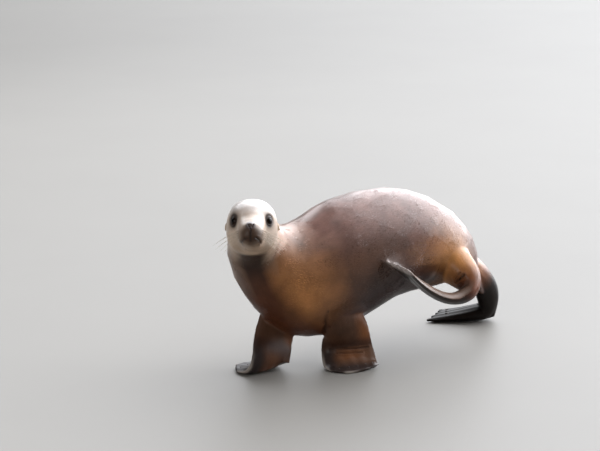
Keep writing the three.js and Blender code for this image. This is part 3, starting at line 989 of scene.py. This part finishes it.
# ---------------------------------------------------------------- hide
@dataclass
class Skin:
    """One hide over all the flesh, sculpted with lids, nostrils, lips, folds and the rays of the flippers."""

    voxel: float = 2.5
    rounds: int = 200
    eye_radius: float = 16.0
    aperture: tuple[float, float] = (12.5, 10.0)
    limit: int = 186000

    def build(self) -> bpy.types.Object:
        """Models the skin from copies of the flesh nodes.

        Returns:
            The skin, unwrapped, painted and dressed.
        """
        self.nodes = FLESH
        for step in (self.cover, self.part, self.relax, self.refine_face, self.sculpt, self.thin_out, self.unwrap,
                     self.paint):
            step()
        return self.body

    def cover(self) -> None:
        """Joins the nodes, swollen over their gaps, under one closed skin of small faces."""
        forms = [self.rounded(names) for names in FORMS]
        for form in forms:
            if form.name.startswith("form_hind_leg_left"):
                self.clear_flank(form)
        copies = [copy_of(name) for name in self.nodes if not any(name in names for names in FORMS)]
        for twin in forms + copies:
            apply_modifier(twin, "DISPLACE", strength=0.35 * MM, mid_level=0.0)
        copies = forms + copies
        self.body = join(copies, "skin")
        self.body.data.remesh_voxel_size = self.voxel * MM
        self.body.data.remesh_voxel_adaptivity = 0.0
        activate(self.body)
        bpy.ops.object.voxel_remesh()
        self.keep_largest()

    def clear_flank(self, form: bpy.types.Object) -> None:
        """Draws the raised flipper's inner edge a little off the flank, so that the two don't grow together."""
        points = points_of(form)
        place = GUIDES[Region.HIND_LEFT].read(points)
        inner = ease(place["part"], 0.5, 0.7) * ease(place["side"], 0.1, -0.9)
        set_points(form, points + inner[:, None] * 6.0 * np.array((-0.48, -0.83, 0.3)))

    def rounded(self, names: tuple[str, ...]) -> bpy.types.Object:
        """One smooth closed form from nodes that meet end to end, without the cuts between them.

        Args:
            names: The nodes in order.

        Returns:
            The form.
        """
        form = join([copy_of(name) for name in names], f"form_{names[0]}")
        mesh = form.data
        tree = BVHTree.FromPolygons([v.co for v in mesh.vertices], [tuple(p.vertices) for p in mesh.polygons])
        inner = [tree.ray_cast(p.center + p.normal * 0.01 * MM, p.normal, 0.6 * MM)[0] is not None
                 for p in mesh.polygons]
        mesh.vertices.foreach_set("select", np.zeros(len(mesh.vertices), dtype=bool))
        mesh.edges.foreach_set("select", np.zeros(len(mesh.edges), dtype=bool))
        mesh.polygons.foreach_set("select", inner)
        activate(form)
        bpy.ops.object.mode_set(mode="EDIT")
        bpy.ops.mesh.select_mode(type="FACE")
        bpy.ops.mesh.delete(type="FACE")
        bpy.ops.mesh.select_all(action="SELECT")
        bpy.ops.mesh.remove_doubles(threshold=0.6 * MM)
        bpy.ops.mesh.tris_convert_to_quads(face_threshold=math.radians(35), shape_threshold=math.radians(50))
        bpy.ops.object.mode_set(mode="OBJECT")
        shape = bmesh.new()
        shape.from_mesh(mesh)
        crease = shape.edges.layers.float.new("crease_edge")
        for edge in shape.edges:
            edge[crease] = 1.0 if edge.calc_face_angle(4.0) > math.radians(50) else 0.0
        loose = sum(1 for edge in shape.edges if len(edge.link_faces) != 2)
        shape.to_mesh(mesh)
        shape.free()
        log.info("form %s: %d inner faces, %d open edges", names[0], sum(inner), loose)
        apply_modifier(form, "SUBSURF", levels=2, render_levels=2)
        return form

    def keep_largest(self) -> None:
        """Drops any pocket left inside, so that only the outer skin stays."""
        near = Neighbours(self.body.data)
        label = np.arange(near.count)
        while True:
            lowest = label.copy()
            np.minimum.at(lowest, near.start, label[near.end])
            lowest = lowest[lowest]
            if (lowest == label).all():
                break
            label = lowest
        names, counts = np.unique(label, return_counts=True)
        drop = label != names[counts.argmax()]
        log.info("skin: %d faces, %d pockets dropped", len(self.body.data.polygons), len(names) - 1)
        if drop.any():
            self.body.data.vertices.foreach_set("select", drop)
            activate(self.body)
            bpy.ops.object.mode_set(mode="EDIT")
            bpy.ops.mesh.select_mode(type="VERT")
            bpy.ops.mesh.delete(type="VERT")
            bpy.ops.object.mode_set(mode="OBJECT")

    def part(self) -> None:
        """Finds each vertex's region by the nearest node of flesh."""
        tree, owner = solid_faces(self.nodes)
        points = points_of(self.body) * MM
        nearest = [tree.find_nearest(Vector(p))[2] for p in points]
        found = np.array([list(Region).index(region_of(owner[i])) for i in nearest])
        place = GUIDES[Region.HIND_LEFT].read(points / MM)
        blade = (np.abs(place["height"]) < 1.8) & (np.abs(place["side"]) < 1.15) & (place["part"] < 1.02)
        beside = (found == list(Region).index(Region.HIND_LEFT)) & (place["part"] > 0.45) & ~blade
        found[beside] = list(Region).index(Region.TRUNK)
        self.shares = {region: (found == k).astype(np.float64) for k, region in enumerate(Region)}

    def relax(self) -> None:
        """Smooths the facets away, more on the trunk than on the flippers, without thinning the body."""
        near = Neighbours(self.body.data)
        soft = {region: near.spread(share, 16) for region, share in self.shares.items()}
        rate = sum(SMOOTHNESS[region] * soft[region] for region in Region)
        for _ in range(3):
            rate = np.minimum(rate, near.spread(rate, 8))
        points = points_of(self.body)
        for region in (Region.HIND_LEFT, Region.HIND_RIGHT):
            root = ease(GUIDES[region].read(points)["part"], 0.24, 0.08) * near.spread(soft[region], 30)
            rate = np.maximum(rate, 0.8 * ease(root, 0.05, 0.5))
        self.weigh("smooth", rate)
        once = self.smoothed()
        twice = self.smoothed()
        set_points(self.body, 2 * once - twice)
        self.body.vertex_groups.clear()
        self.shares = {region: near.spread(share, 14) for region, share in self.shares.items()}
        whole = sum(self.shares.values())
        self.shares = {region: share / whole for region, share in self.shares.items()}
        for region in Region:
            self.body.data.attributes.new(f"share_{region.value}", "FLOAT", "POINT").data.foreach_set(
                "value", self.shares[region].astype(np.float32))

    def weigh(self, name: str, weights: np.ndarray) -> None:
        """Makes a vertex group with weights in steps of a fiftieth."""
        group = self.body.vertex_groups.new(name=name)
        steps = np.round(np.clip(weights, 0, 1) * 50).astype(int)
        for level in np.unique(steps[steps > 0]):
            group.add(np.flatnonzero(steps == level).tolist(), float(level) / 50, "REPLACE")

    def smoothed(self) -> np.ndarray:
        """Smooths the whole body once more by its weights, and gives its points in mm."""
        apply_modifier(self.body, "SMOOTH", factor=0.5, iterations=self.rounds, vertex_group="smooth")
        return points_of(self.body)

    def refine_face(self) -> None:
        """Divides the faces round the eyes, nose and mouth."""
        local = HEAD.local(points_of(self.body))
        face = (local[:, 0] > 66) & (local[:, 2] > -80) & (local[:, 0] < 150) & (np.abs(local[:, 1]) < 60)
        eye = np.linalg.norm(np.abs(local) - np.array((46, 49, 0)), axis=1) < 30
        face |= eye & (local[:, 0] > 0)
        activate(self.body)
        mesh = self.body.data
        mesh.polygons.foreach_set("select", np.zeros(len(mesh.polygons), dtype=bool))
        mesh.edges.foreach_set("select", np.zeros(len(mesh.edges), dtype=bool))
        mesh.vertices.foreach_set("select", face)
        bpy.ops.object.mode_set(mode="EDIT")
        bpy.ops.mesh.select_mode(type="VERT")
        bpy.ops.object.mode_set(mode="OBJECT")
        bpy.ops.object.mode_set(mode="EDIT")
        bpy.ops.mesh.subdivide(number_cuts=1, smoothness=0.0)
        bpy.ops.object.mode_set(mode="OBJECT")
        self.read_shares()
        near = Neighbours(mesh)
        local = HEAD.local(points_of(self.body))
        rate = ease(local[:, 0], -10, 20) * self.shares[Region.HEAD]
        set_points(self.body, near.spread(points_of(self.body), 3, rate))

    def read_shares(self) -> None:
        """Reads the regions back from the mesh after its vertices have changed."""
        mesh = self.body.data
        for region in Region:
            flat = np.empty(len(mesh.vertices), dtype=np.float32)
            mesh.attributes[f"share_{region.value}"].data.foreach_get("value", flat)
            self.shares[region] = flat.astype(np.float64)

    def sculpt(self) -> None:
        """Takes the skin in by the coat's depth and models what stands out of it or is cut into it."""
        points, normals = points_of(self.body), normals_of(self.body)
        blade = sum(self.shares[region] for region in LIMBS)
        depth = COAT_DEPTH / MM * (1 - 0.55 * blade - 0.4 * self.shares[Region.HEAD]) + 0.35
        shift = -depth
        for fold in FOLDS:
            shift = shift + fold.shift(points)
        for region in LIMBS:
            shift = shift + self.rays(region, points, normals)
        shift = shift + self.muzzle(points, normals)
        points = points + shift[:, None] * normals
        points = self.lids(points)
        points[:, 2] = np.maximum(points[:, 2], 0.0)
        set_points(self.body, points)

    def rays(self, region: Region, points: np.ndarray, normals: np.ndarray) -> np.ndarray:
        """Ridges over the five rays of a flipper, with hollows between them.

        Args:
            region: Which limb.
            points: In mm.
            normals: Unit normals there.

        Returns:
            Shift outwards at each vertex, in mm.
        """
        place = GUIDES[region].read(points)
        outer = ease(place["part"], 0.55, 0.75) * ease(place["part"], 1.02, 0.9)
        wave = np.cos(2.5 * math.pi * np.clip(place["side"], -1, 1)) ** 2 - 0.5
        flat = np.abs((normals * place["rise"]).sum(1)) * ease(np.abs(place["side"]), 1.0, 0.85)
        return self.shares[region] * 1.1 * outer * wave * ease(flat, 0.4, 0.8)

    def muzzle(self, points: np.ndarray, normals: np.ndarray) -> np.ndarray:
        """Nostrils, the groove under them, the mouth, the whisker pads and the brows.

        Args:
            points: In mm.
            normals: Not used.

        Returns:
            Shift outwards at each vertex, in mm.
        """
        local = HEAD.local(points)
        forward, side, up = local[:, 0], np.abs(local[:, 1]), local[:, 2]
        shift = -2.6 * bell(line_distance(np.stack([forward, up], 1), LIP_LINE), 1.9) * ease(forward, 60, 72)
        shift += 1.2 * bell(line_distance(np.stack([forward, up], 1), LIP_LINE + (0, 6)), 3.5) * ease(forward, 60, 80)
        slit = line_distance(np.stack([side, up], 1), np.array(((3.2, -30.0), (6.5, -26.0), (8.6, -21.5))))
        shift -= 3.6 * bell(slit, 1.7) * ease(forward, 124, 130)
        shift -= 2.0 * bell(side, 1.8) * ease(forward, 108, 116) * ease(up, -32, -37) * ease(up, -72, -64)
        pads = np.linalg.norm(np.stack([forward - 106, side - 24, up + 46], 1), axis=1)
        shift += 2.2 * bell(pads, 15)
        for row in range(4):
            for column in range(5):
                spot = whisker_spot(row, column)
                away = np.hypot(forward - spot[0], up - spot[2])
                shift -= 0.55 * bell(away, 1.5) * ease(side, 12, 18)
        brow = line_distance(np.stack([forward, side, up], 1), np.array(((22.0, 50, 21), (38, 43, 23), (54, 36, 18))))
        shift += 1.8 * bell(brow, 6.5)
        return shift * ease(self.shares[Region.HEAD], 0.3, 0.7)

    def lids(self, points: np.ndarray) -> np.ndarray:
        """Opens the skin over each eyeball and turns a lid's edge round the opening.

        Args:
            points: In mm.

        Returns:
            The moved points.
        """
        local = HEAD.local(points)
        for hand in (1, -1):
            centre, out = eye_place(hand)
            out /= np.linalg.norm(out)
            slit = np.cross(out, (0.0, 0.0, 1.0)) * hand
            slit += np.array((0, 0, -0.16))
            slit -= out * (slit @ out)
            slit /= np.linalg.norm(slit)
            offset = local - centre
            reach = np.linalg.norm(offset, axis=1)
            beyond = offset @ out > 0
            wide, high = offset @ slit, offset @ np.cross(out, slit)
            along = wide / self.aperture[0]
            ring = np.hypot(along, high / self.aperture[1])
            near = beyond & (reach < 34)
            rim = self.eye_radius + 1.7
            lid = np.where(ring < 1, self.eye_radius - 2.6 + 1.2 * ease(ring, 0.6, 1), rim)
            lid = np.where((ring >= 1) & (ring < 1.16), self.eye_radius + 0.1 + 10 * (ring - 1), lid)
            keep = ease(ring, 1.25, 2.1)
            target = lid + (reach - lid) * keep
            scale = np.where(near, target / np.maximum(reach, 1e-6), 1.0)
            local = centre + offset * scale[:, None]
        return HEAD.place(local)

    def thin_out(self) -> None:
        """Drops faces where the trunk is smooth, and keeps them on the head and flippers."""
        mesh = self.body.data
        local = HEAD.local(points_of(self.body))
        fine = sum(self.shares[region] for region in LIMBS) * 0.55
        fine = np.maximum(fine, 0.5 * self.shares[Region.HEAD])
        fine = np.maximum(fine, ease(local[:, 0], 0, 24) * (self.shares[Region.HEAD] > 0.5))
        self.weigh("fine", fine)
        triangles = sum(len(p.vertices) - 2 for p in mesh.polygons)
        if triangles > self.limit:
            apply_modifier(self.body, "DECIMATE", ratio=self.limit / triangles, use_collapse_triangulate=True,
                           vertex_group="fine", invert_vertex_group=True, vertex_group_factor=6.0)
        self.body.vertex_groups.clear()
        self.read_shares()
        log.info("skin: %d triangles", sum(len(p.vertices) - 2 for p in self.body.data.polygons))

    def unwrap(self) -> None:
        """Unwraps the skin's own shape for the export's bake."""
        activate(self.body)
        self.body.data.uv_layers.new(name="OFBake")
        bpy.ops.object.mode_set(mode="EDIT")
        bpy.ops.mesh.select_all(action="SELECT")
        bpy.ops.uv.smart_project(angle_limit=math.radians(66), island_margin=0.002)
        bpy.ops.object.mode_set(mode="OBJECT")
        bpy.ops.object.shade_smooth()

    def paint(self) -> None:
        """Stores the markings and dresses the skin."""
        points, normals = points_of(self.body), normals_of(self.body)
        colour = MARKINGS.colour_at(points, normals, self.shares)
        pattern, _ = MARKINGS.lie_at(points, self.shares)
        pattern = Neighbours(self.body.data).spread(pattern, 12, ease(self.shares[Region.TRUNK], 0.9, 1.0))
        bare = ease(sum(self.shares[region] for region in LIMBS), 0.5, 1.0)
        mesh = self.body.data
        write_attribute(mesh, "hide", "FLOAT_COLOR", np.column_stack([colour, np.ones(len(points))]))
        write_attribute(mesh, "lie", "FLOAT_VECTOR", pattern)
        write_attribute(mesh, "bare", "FLOAT", bare)
        write_attribute(mesh, "film", "FLOAT", MARKINGS.film_at(points, self.shares))
        for region in Region:
            mesh.attributes.remove(mesh.attributes[f"share_{region.value}"])
        self.material = WetHide().make()
        mesh.materials.append(self.material)
        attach(self.body, "root")
        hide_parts(*[name for name in self.nodes if not name.startswith("eye")])


# ---------------------------------------------------------------- coat
@dataclass
class Coat:
    """Short tufts of wet hair over one part of the hide, each a thin blade lying along the body."""

    skin: Skin
    name: str
    count: int
    length: float
    width: float
    lift: float
    head: bool
    slot: str
    seed: int = 7

    def build(self) -> bpy.types.Object:
        """Roots the tufts evenly on the skin.

        Returns:
            The coat, with its bake map.
        """
        corners, roots, way, up = self.roots()
        rng = np.random.default_rng(self.seed)
        count = len(roots)
        across = np.cross(up, way)
        length = self.length * rng.uniform(0.7, 1.25, count)[:, None]
        width = self.width * rng.uniform(0.7, 1.2, count)[:, None] / 2
        bend = rng.normal(0, 0.16, count)[:, None]
        way = way + across * bend
        lift = self.lift * rng.uniform(0.4, 1.0, count)[:, None]
        base = roots - up * 0.5
        middle = roots + way * length * 0.5 + up * lift * 0.8
        tip = roots + way * length + up * lift * 0.7 + across * bend * length * 0.3
        rows = [base - across * width * 0.7, base + across * width * 0.7, middle - across * width,
                middle + across * width, tip]
        points = np.stack(rows, axis=1)
        points[:, :, 2] = np.maximum(points[:, :, 2], 0.2)
        return self.make(points, roots, corners)

    def roots(self) -> tuple[np.ndarray, np.ndarray, np.ndarray, np.ndarray]:
        """Picks places for the tufts by area, away from the eyes, the nose and the bare flippers.

        Returns:
            Bake map places, roots in mm, the way of the hairs and the skin's normals.
        """
        mesh = self.skin.body.data
        mesh.calc_loop_triangles()
        total = len(mesh.loop_triangles)
        loops = np.empty(total * 3, dtype=np.int32)
        corners = np.empty(total * 3, dtype=np.int32)
        mesh.loop_triangles.foreach_get("loops", loops)
        mesh.loop_triangles.foreach_get("vertices", corners)
        loops, corners = loops.reshape(-1, 3), corners.reshape(-1, 3)
        uv = np.empty(len(mesh.loops) * 2, dtype=np.float32)
        mesh.uv_layers["OFBake"].data.foreach_get("uv", uv)
        uv = uv.reshape(-1, 2)
        points, normals = points_of(self.skin.body), normals_of(self.skin.body)
        a, b, c = (points[corners[:, k]] for k in range(3))
        area = np.linalg.norm(np.cross(b - a, c - a), axis=1) / 2
        weight = area * self.wanted(points, normals)[corners].min(axis=1)
        rng = np.random.default_rng(self.seed + 1)
        chosen = np.searchsorted(np.cumsum(weight) / weight.sum(), rng.uniform(0, 1, self.count))
        mix = rng.dirichlet((1, 1, 1), self.count)
        pick = corners[chosen]
        roots = np.einsum("nk,nkj->nj", mix, points[pick])
        up = np.einsum("nk,nkj->nj", mix, normals[pick])
        up /= np.linalg.norm(up, axis=1)[:, None]
        self.shares = {region: np.einsum("nk,nk->n", mix, share[pick]) for region, share in self.skin.shares.items()}
        _, way = MARKINGS.lie_at(roots, self.shares)
        if self.head:
            way = self.head_way(roots)
        way = way - (way * up).sum(1)[:, None] * up
        way /= np.maximum(np.linalg.norm(way, axis=1), 1e-6)[:, None]
        return np.einsum("nk,nkj->nj", mix, uv[loops[chosen]]), roots, way, up

    def head_way(self, roots: np.ndarray) -> np.ndarray:
        """On the head the coat runs back from the nose, and down below the eyes."""
        axes = HEAD.axes()
        local = HEAD.local(roots)
        down = ease(local[:, 2], 10, -60)[:, None]
        return -axes[0] - 0.7 * down * axes[2]

    def wanted(self, points: np.ndarray, normals: np.ndarray) -> np.ndarray:
        """How thickly each vertex of the skin is to be covered.

        Args:
            points: In mm.
            normals: Not used.

        Returns:
            0 to 1 at each vertex.
        """
        shares = self.skin.shares
        local = HEAD.local(points)
        on_head = ease(shares[Region.HEAD], 0.4, 0.6)
        if not self.head:
            dry = sum(shares[region] * ease(GUIDES[region].read(points)["part"], 0.55, 0.35) for region in LIMBS)
            dry *= 1 - ease(GUIDES[Region.HIND_LEFT].read(points)["gap"], 62, 54) * (points[:, 0] < 60)
            return (1 - on_head) * np.clip(shares[Region.TRUNK] + dry, 0, 1) * (points[:, 2] > 4)
        eye = np.linalg.norm(np.stack([local[:, 0] - 46, np.abs(local[:, 1]) - 49, local[:, 2]], 1), axis=1)
        nose = np.linalg.norm(local - np.array((134, 0, -25)), axis=1)
        lip = line_distance(local[:, [0, 2]], LIP_LINE)
        return on_head * ease(eye, 17, 22) * ease(nose, 20, 26) * ease(lip, 3, 7)

    def make(self, points: np.ndarray, roots: np.ndarray, places: np.ndarray) -> bpy.types.Object:
        """Builds the mesh of all tufts.

        Args:
            points: Five corners for each tuft, in mm.
            roots: In mm.
            places: Bake map place of each root.

        Returns:
            The coat piece.
        """
        count = len(points)
        first = np.arange(count)[:, None] * 5
        quads = first + np.array((0, 2, 3, 1))
        tips = first + np.array((2, 4, 3))
        mesh = bpy.data.meshes.new(self.name)
        faces = [tuple(q) for q in quads.tolist()] + [tuple(t) for t in tips.tolist()]
        mesh.from_pydata((points.reshape(-1, 3) * MM).tolist(), [], faces)
        mesh.update()
        corner = np.empty(len(mesh.loops), dtype=np.int32)
        mesh.loops.foreach_get("vertex_index", corner)
        patch = np.array(((0, 0), (1, 0), (0.1, 0.6), (0.9, 0.6), (0.5, 1.0))) * 0.003 - 0.0015
        layer = mesh.uv_layers.new(name="OFBake")
        layer.data.foreach_set("uv", (places[corner // 5] + patch[corner % 5]).astype(np.float32).ravel())
        tilt = np.random.default_rng(self.seed + 2).normal(0, 0.05, (count, 1, 3))
        normals = (self.normals_at(points.reshape(-1, 3)).reshape(-1, 5, 3) + tilt).reshape(-1, 3)
        normals /= np.linalg.norm(normals, axis=1)[:, None]
        colour = MARKINGS.colour_at(roots, normals[::5], self.shares)
        pattern, _ = MARKINGS.lie_at(roots, self.shares)
        write_attribute(mesh, "hide", "FLOAT_COLOR", np.repeat(np.column_stack([colour, np.ones(count)]), 5, axis=0))
        write_attribute(mesh, "lie", "FLOAT_VECTOR", np.repeat(pattern, 5, axis=0))
        write_attribute(mesh, "bare", "FLOAT", np.zeros(count * 5))
        write_attribute(mesh, "film", "FLOAT", np.repeat(MARKINGS.film_at(roots, self.shares), 5))
        mesh.polygons.foreach_set("use_smooth", np.ones(len(mesh.polygons), dtype=bool))
        mesh.normals_split_custom_set_from_vertices(normals.tolist())
        mesh.materials.append(self.skin.material)
        piece = bpy.data.objects.new(self.name, mesh)
        bpy.context.scene.collection.objects.link(piece)
        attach(piece, "root")
        return piece

    def normals_at(self, points: np.ndarray) -> np.ndarray:
        """Normals of the skin nearest to some points in mm."""
        tree = KDTree(len(self.skin.body.data.vertices))
        for index, vertex in enumerate(self.skin.body.data.vertices):
            tree.insert(vertex.co, index)
        tree.balance()
        nearest = [tree.find(Vector(p))[1] for p in points * MM]
        return normals_of(self.skin.body)[nearest]


# ---------------------------------------------------------------- eyes, nails, whiskers
@dataclass
class Eyes:
    """Both eyeballs, each one smooth wet ball set under its lids."""

    radius: float = 15.9
    bulge: float = 0.7

    def build(self) -> list[bpy.types.Object]:
        """Models the eyeballs.

        Returns:
            The two pieces.
        """
        material = EyeGloss().make()
        made = []
        for side, hand in (("left", 1), ("right", -1)):
            centre, gaze_way = eye_place(hand)
            deselect()
            bpy.ops.mesh.primitive_uv_sphere_add(segments=48, ring_count=32, radius=self.radius * MM)
            ball = bpy.context.active_object
            ball.name = f"eyeball_{side}"
            out = HEAD.axes().T @ gaze_way
            out /= np.linalg.norm(out)
            points = points_of(ball)
            gaze = points[:, 2] / self.radius
            points[:, 2] += self.bulge * ease(gaze, 0.86, 1.0)
            turn = np.array(Vector(out).to_track_quat("Z", "Y").to_matrix())
            set_points(ball, points @ turn.T + HEAD.place(centre))
            write_attribute(ball.data, "gaze", "FLOAT", np.arccos(np.clip(gaze, -1, 1)) / math.radians(60))
            activate(ball)
            bpy.ops.object.shade_smooth()
            ball.data.materials.append(material)
            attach(ball, "root")
            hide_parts(f"eye_{side}")
            made.append(ball)
        return made


@dataclass
class Nails:
    """The nails of one flipper, rounded."""

    flipper: str

    def build(self, material: bpy.types.Material) -> bpy.types.Object:
        """Models the nails from their solids.

        Args:
            material: Horn.

        Returns:
            One piece for the flipper.
        """
        names = sorted(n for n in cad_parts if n.startswith(f"{self.flipper}_nail"))
        piece = join([copy_of(name) for name in names], f"nails_{self.flipper}")
        apply_modifier(piece, "SUBSURF", levels=2, render_levels=2)
        activate(piece)
        bpy.ops.object.shade_smooth()
        piece.data.materials.append(material)
        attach(piece, "root")
        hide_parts(*names)
        return piece


@dataclass
class Whiskers:
    """Rows of stiff whiskers on both sides of the muzzle, swept back and down."""

    rows: int = 4
    columns: int = 5
    longest: float = 78.0
    thickness: float = 0.9
    rings: int = 8

    def build(self, skin: Skin) -> bpy.types.Object:
        """Models every whisker as a tapering, bent rod.

        Args:
            skin: The hide that they grow from.

        Returns:
            One piece with all of them.
        """
        tree = BVHTree.FromObject(skin.body, bpy.context.evaluated_depsgraph_get())
        rods = []
        for hand in (1, -1):
            for row in range(self.rows):
                for column in range(self.columns):
                    local = whisker_spot(row, column) + (0, 60.0 * hand, 0)
                    start = Vector(HEAD.place(local) * MM)
                    inwards = Vector(HEAD.axes().T @ np.array((0, -hand, 0)))
                    hit = tree.ray_cast(start, inwards)[0]
                    if hit is None:
                        continue
                    root = HEAD.local(np.array(hit) / MM)
                    if abs(root[1]) < 8:
                        continue
                    length = self.longest * (0.45 + 0.14 * column) * (1 - 0.08 * row)
                    rods.append(self.rod(root, hand, length, row))
        piece = join(rods, "whiskers")
        activate(piece)
        bpy.ops.object.shade_smooth()
        piece.data.materials.append(WhiskerHorn().make())
        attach(piece, "root")
        return piece

    def rod(self, root: np.ndarray, hand: int, length: float, row: int) -> bpy.types.Object:
        """One whisker from a cylinder, tapered and bent.

        Args:
            root: Its place in the head's frame, in mm.
            hand: 1 for the left side, -1 for the right.
            length: In mm.
            row: Counted from the top.

        Returns:
            The whisker.
        """
        deselect()
        bpy.ops.mesh.primitive_cylinder_add(vertices=6, radius=self.thickness / 2 * MM, depth=length * MM)
        rod = bpy.context.active_object
        bpy.ops.object.mode_set(mode="EDIT")
        bpy.ops.mesh.select_all(action="SELECT")
        bpy.ops.mesh.bisect(plane_co=(0, 0, 0), plane_no=(0, 0, 1))
        for step in range(1, self.rings):
            bpy.ops.mesh.select_all(action="SELECT")
            height = (step / self.rings - 0.5) * length * MM
            bpy.ops.mesh.bisect(plane_co=(0, 0, height), plane_no=(0, 0, 1))
        bpy.ops.object.mode_set(mode="OBJECT")
        points = points_of(rod)
        part = np.clip(points[:, 2] / length + 0.5, 0, 1)
        thin = (1 - 0.75 * part)[:, None]
        out = np.array((-0.15 - 0.05 * row, 0.92 * hand, -0.22 - 0.1 * row))
        out /= np.linalg.norm(out)
        back = np.array((-1.0, 0.0, -0.35))
        run = part[:, None] * length
        line = root - out * 1.5 + out * run + back * (part ** 2)[:, None] * length * 0.45
        ahead = np.array((1.0, 0, 0)) - out * out[0]
        ahead /= np.linalg.norm(ahead)
        high = np.cross(out, ahead)
        local = line + thin * (points[:, :1] * ahead + points[:, 1:2] * high)
        set_points(rod, HEAD.place(local))
        write_attribute(rod.data, "reach", "FLOAT", part)
        activate(rod)
        bpy.ops.object.mode_set(mode="EDIT")
        bpy.ops.mesh.select_all(action="SELECT")
        bpy.ops.mesh.normals_make_consistent(inside=False)
        bpy.ops.object.mode_set(mode="OBJECT")
        return rod


# ---------------------------------------------------------------- studio
@dataclass
class Studio:
    """Pale floor, soft lights and the camera."""

    dim: float = 0.13
    bright: float = 6.2
    towards: tuple[float, float, float] = (0.88, 0.10, 0.45)  # middle of the bright side
    spread: tuple[float, float] = (0.52, 0.9)  # cosines between which the surround goes from dim to bright

    def build(self) -> None:
        """Sets up the whole studio."""
        bpy.context.scene.view_settings.view_transform = "Standard"
        self.floor()
        self.world()
        self.light("window", (-4.7, -1.3, 2.0), (-0.1, 0.0, 0.25), (2.4, 1.8), 58.0, (1.0, 0.97, 0.94))
        self.light("sky", (0.3, 4.3, 3.0), (0.0, 0.0, 0.4), (3.2, 2.2), 70.0, (0.95, 0.97, 1.0))
        self.camera()

    def floor(self) -> None:
        """A wide floor at height 0."""
        deselect()
        bpy.ops.mesh.primitive_plane_add(size=60, location=(0, 0, -0.0004))
        plane = bpy.context.active_object
        plane.name = "studio_floor"
        bpy.ops.object.transform_apply(location=True)
        plane.data.materials.append(StudioFloor().make())

    def world(self) -> None:
        """A soft surround like a lit tent: bright above and behind, dim on the camera's side."""
        world = bpy.data.worlds.new("studio")
        bpy.context.scene.world = world
        world.use_nodes = True
        tree = world.node_tree
        back = tree.nodes["Background"]
        back.inputs["Color"].default_value = (0.94, 0.96, 1.0, 1)
        way = tree.nodes.new("ShaderNodeTexCoord")
        dot = tree.nodes.new("ShaderNodeVectorMath")
        dot.operation = "DOT_PRODUCT"
        dot.inputs[1].default_value = Vector(self.towards).normalized()
        fade = tree.nodes.new("ShaderNodeMapRange")
        fade.interpolation_type = "SMOOTHSTEP"
        for key, value in zip(("From Min", "From Max", "To Min", "To Max"), (*self.spread, self.dim, self.bright)):
            fade.inputs[key].default_value = value
        tree.links.new(way.outputs["Generated"], dot.inputs[0])
        tree.links.new(dot.outputs["Value"], fade.inputs["Value"])
        tree.links.new(fade.outputs["Result"], back.inputs["Strength"])

    def light(self, name: str, place: tuple[float, ...], aim: tuple[float, ...], size: tuple[float, float],
              power: float, colour: tuple[float, float, float]) -> None:
        """Adds one soft rectangular light.

        Args:
            name: Its name.
            place: Where it hangs, in metres.
            aim: Where it points.
            size: Width and height in metres.
            power: In watts.
            colour: Linear RGB.
        """
        deselect()
        bpy.ops.object.light_add(type="AREA", location=place)
        lamp = bpy.context.active_object
        lamp.name = name
        lamp.rotation_euler = (Vector(aim) - Vector(place)).to_track_quat("-Z", "Y").to_euler()
        lamp.data.shape = "RECTANGLE"
        lamp.data.size, lamp.data.size_y = size
        lamp.data.energy = power
        lamp.data.color = colour
        lamp.visible_camera = False

    def camera(self) -> None:
        """The camera at the front left, a little above the back."""
        deselect()
        eye, target = CAMERA.ends()
        bpy.ops.object.camera_add(location=eye)
        camera = bpy.context.active_object
        camera.rotation_euler = (target - eye).to_track_quat("-Z", "Y").to_euler()
        camera.data.lens = CAMERA.lens
        camera.data.sensor_width = CAMERA.sensor
        camera.data.sensor_fit = "HORIZONTAL"
        bpy.context.scene.camera = camera


def report(piece: bpy.types.Object) -> None:
    """Logs one finished piece."""
    log.info("%s: %d vertices", piece.name, len(piece.data.vertices))


def main() -> None:
    """Builds and dresses the sea lion in order."""
    logging.basicConfig(level=logging.INFO, format="%(relativeCreated)d %(name)s %(message)s")
    skin = Skin()
    report(skin.build())
    for coat in (
        Coat(skin, "body_coat", 56000, 8.0, 1.5, 0.3, False, "back_coat", 11),
        Coat(skin, "face_coat", 16000, 3.6, 0.8, 0.22, True, "face_coat", 23),
    ):
        report(coat.build())
    for ball in Eyes().build():
        report(ball)
    horn = NailHorn().make()
    for flipper in ("fore_flipper_left", "fore_flipper_right", "hind_flipper_left", "hind_flipper_right"):
        report(Nails(flipper).build(horn))
    report(Whiskers().build(skin))
    Studio().build()


if __name__ == "__main__":
    main()
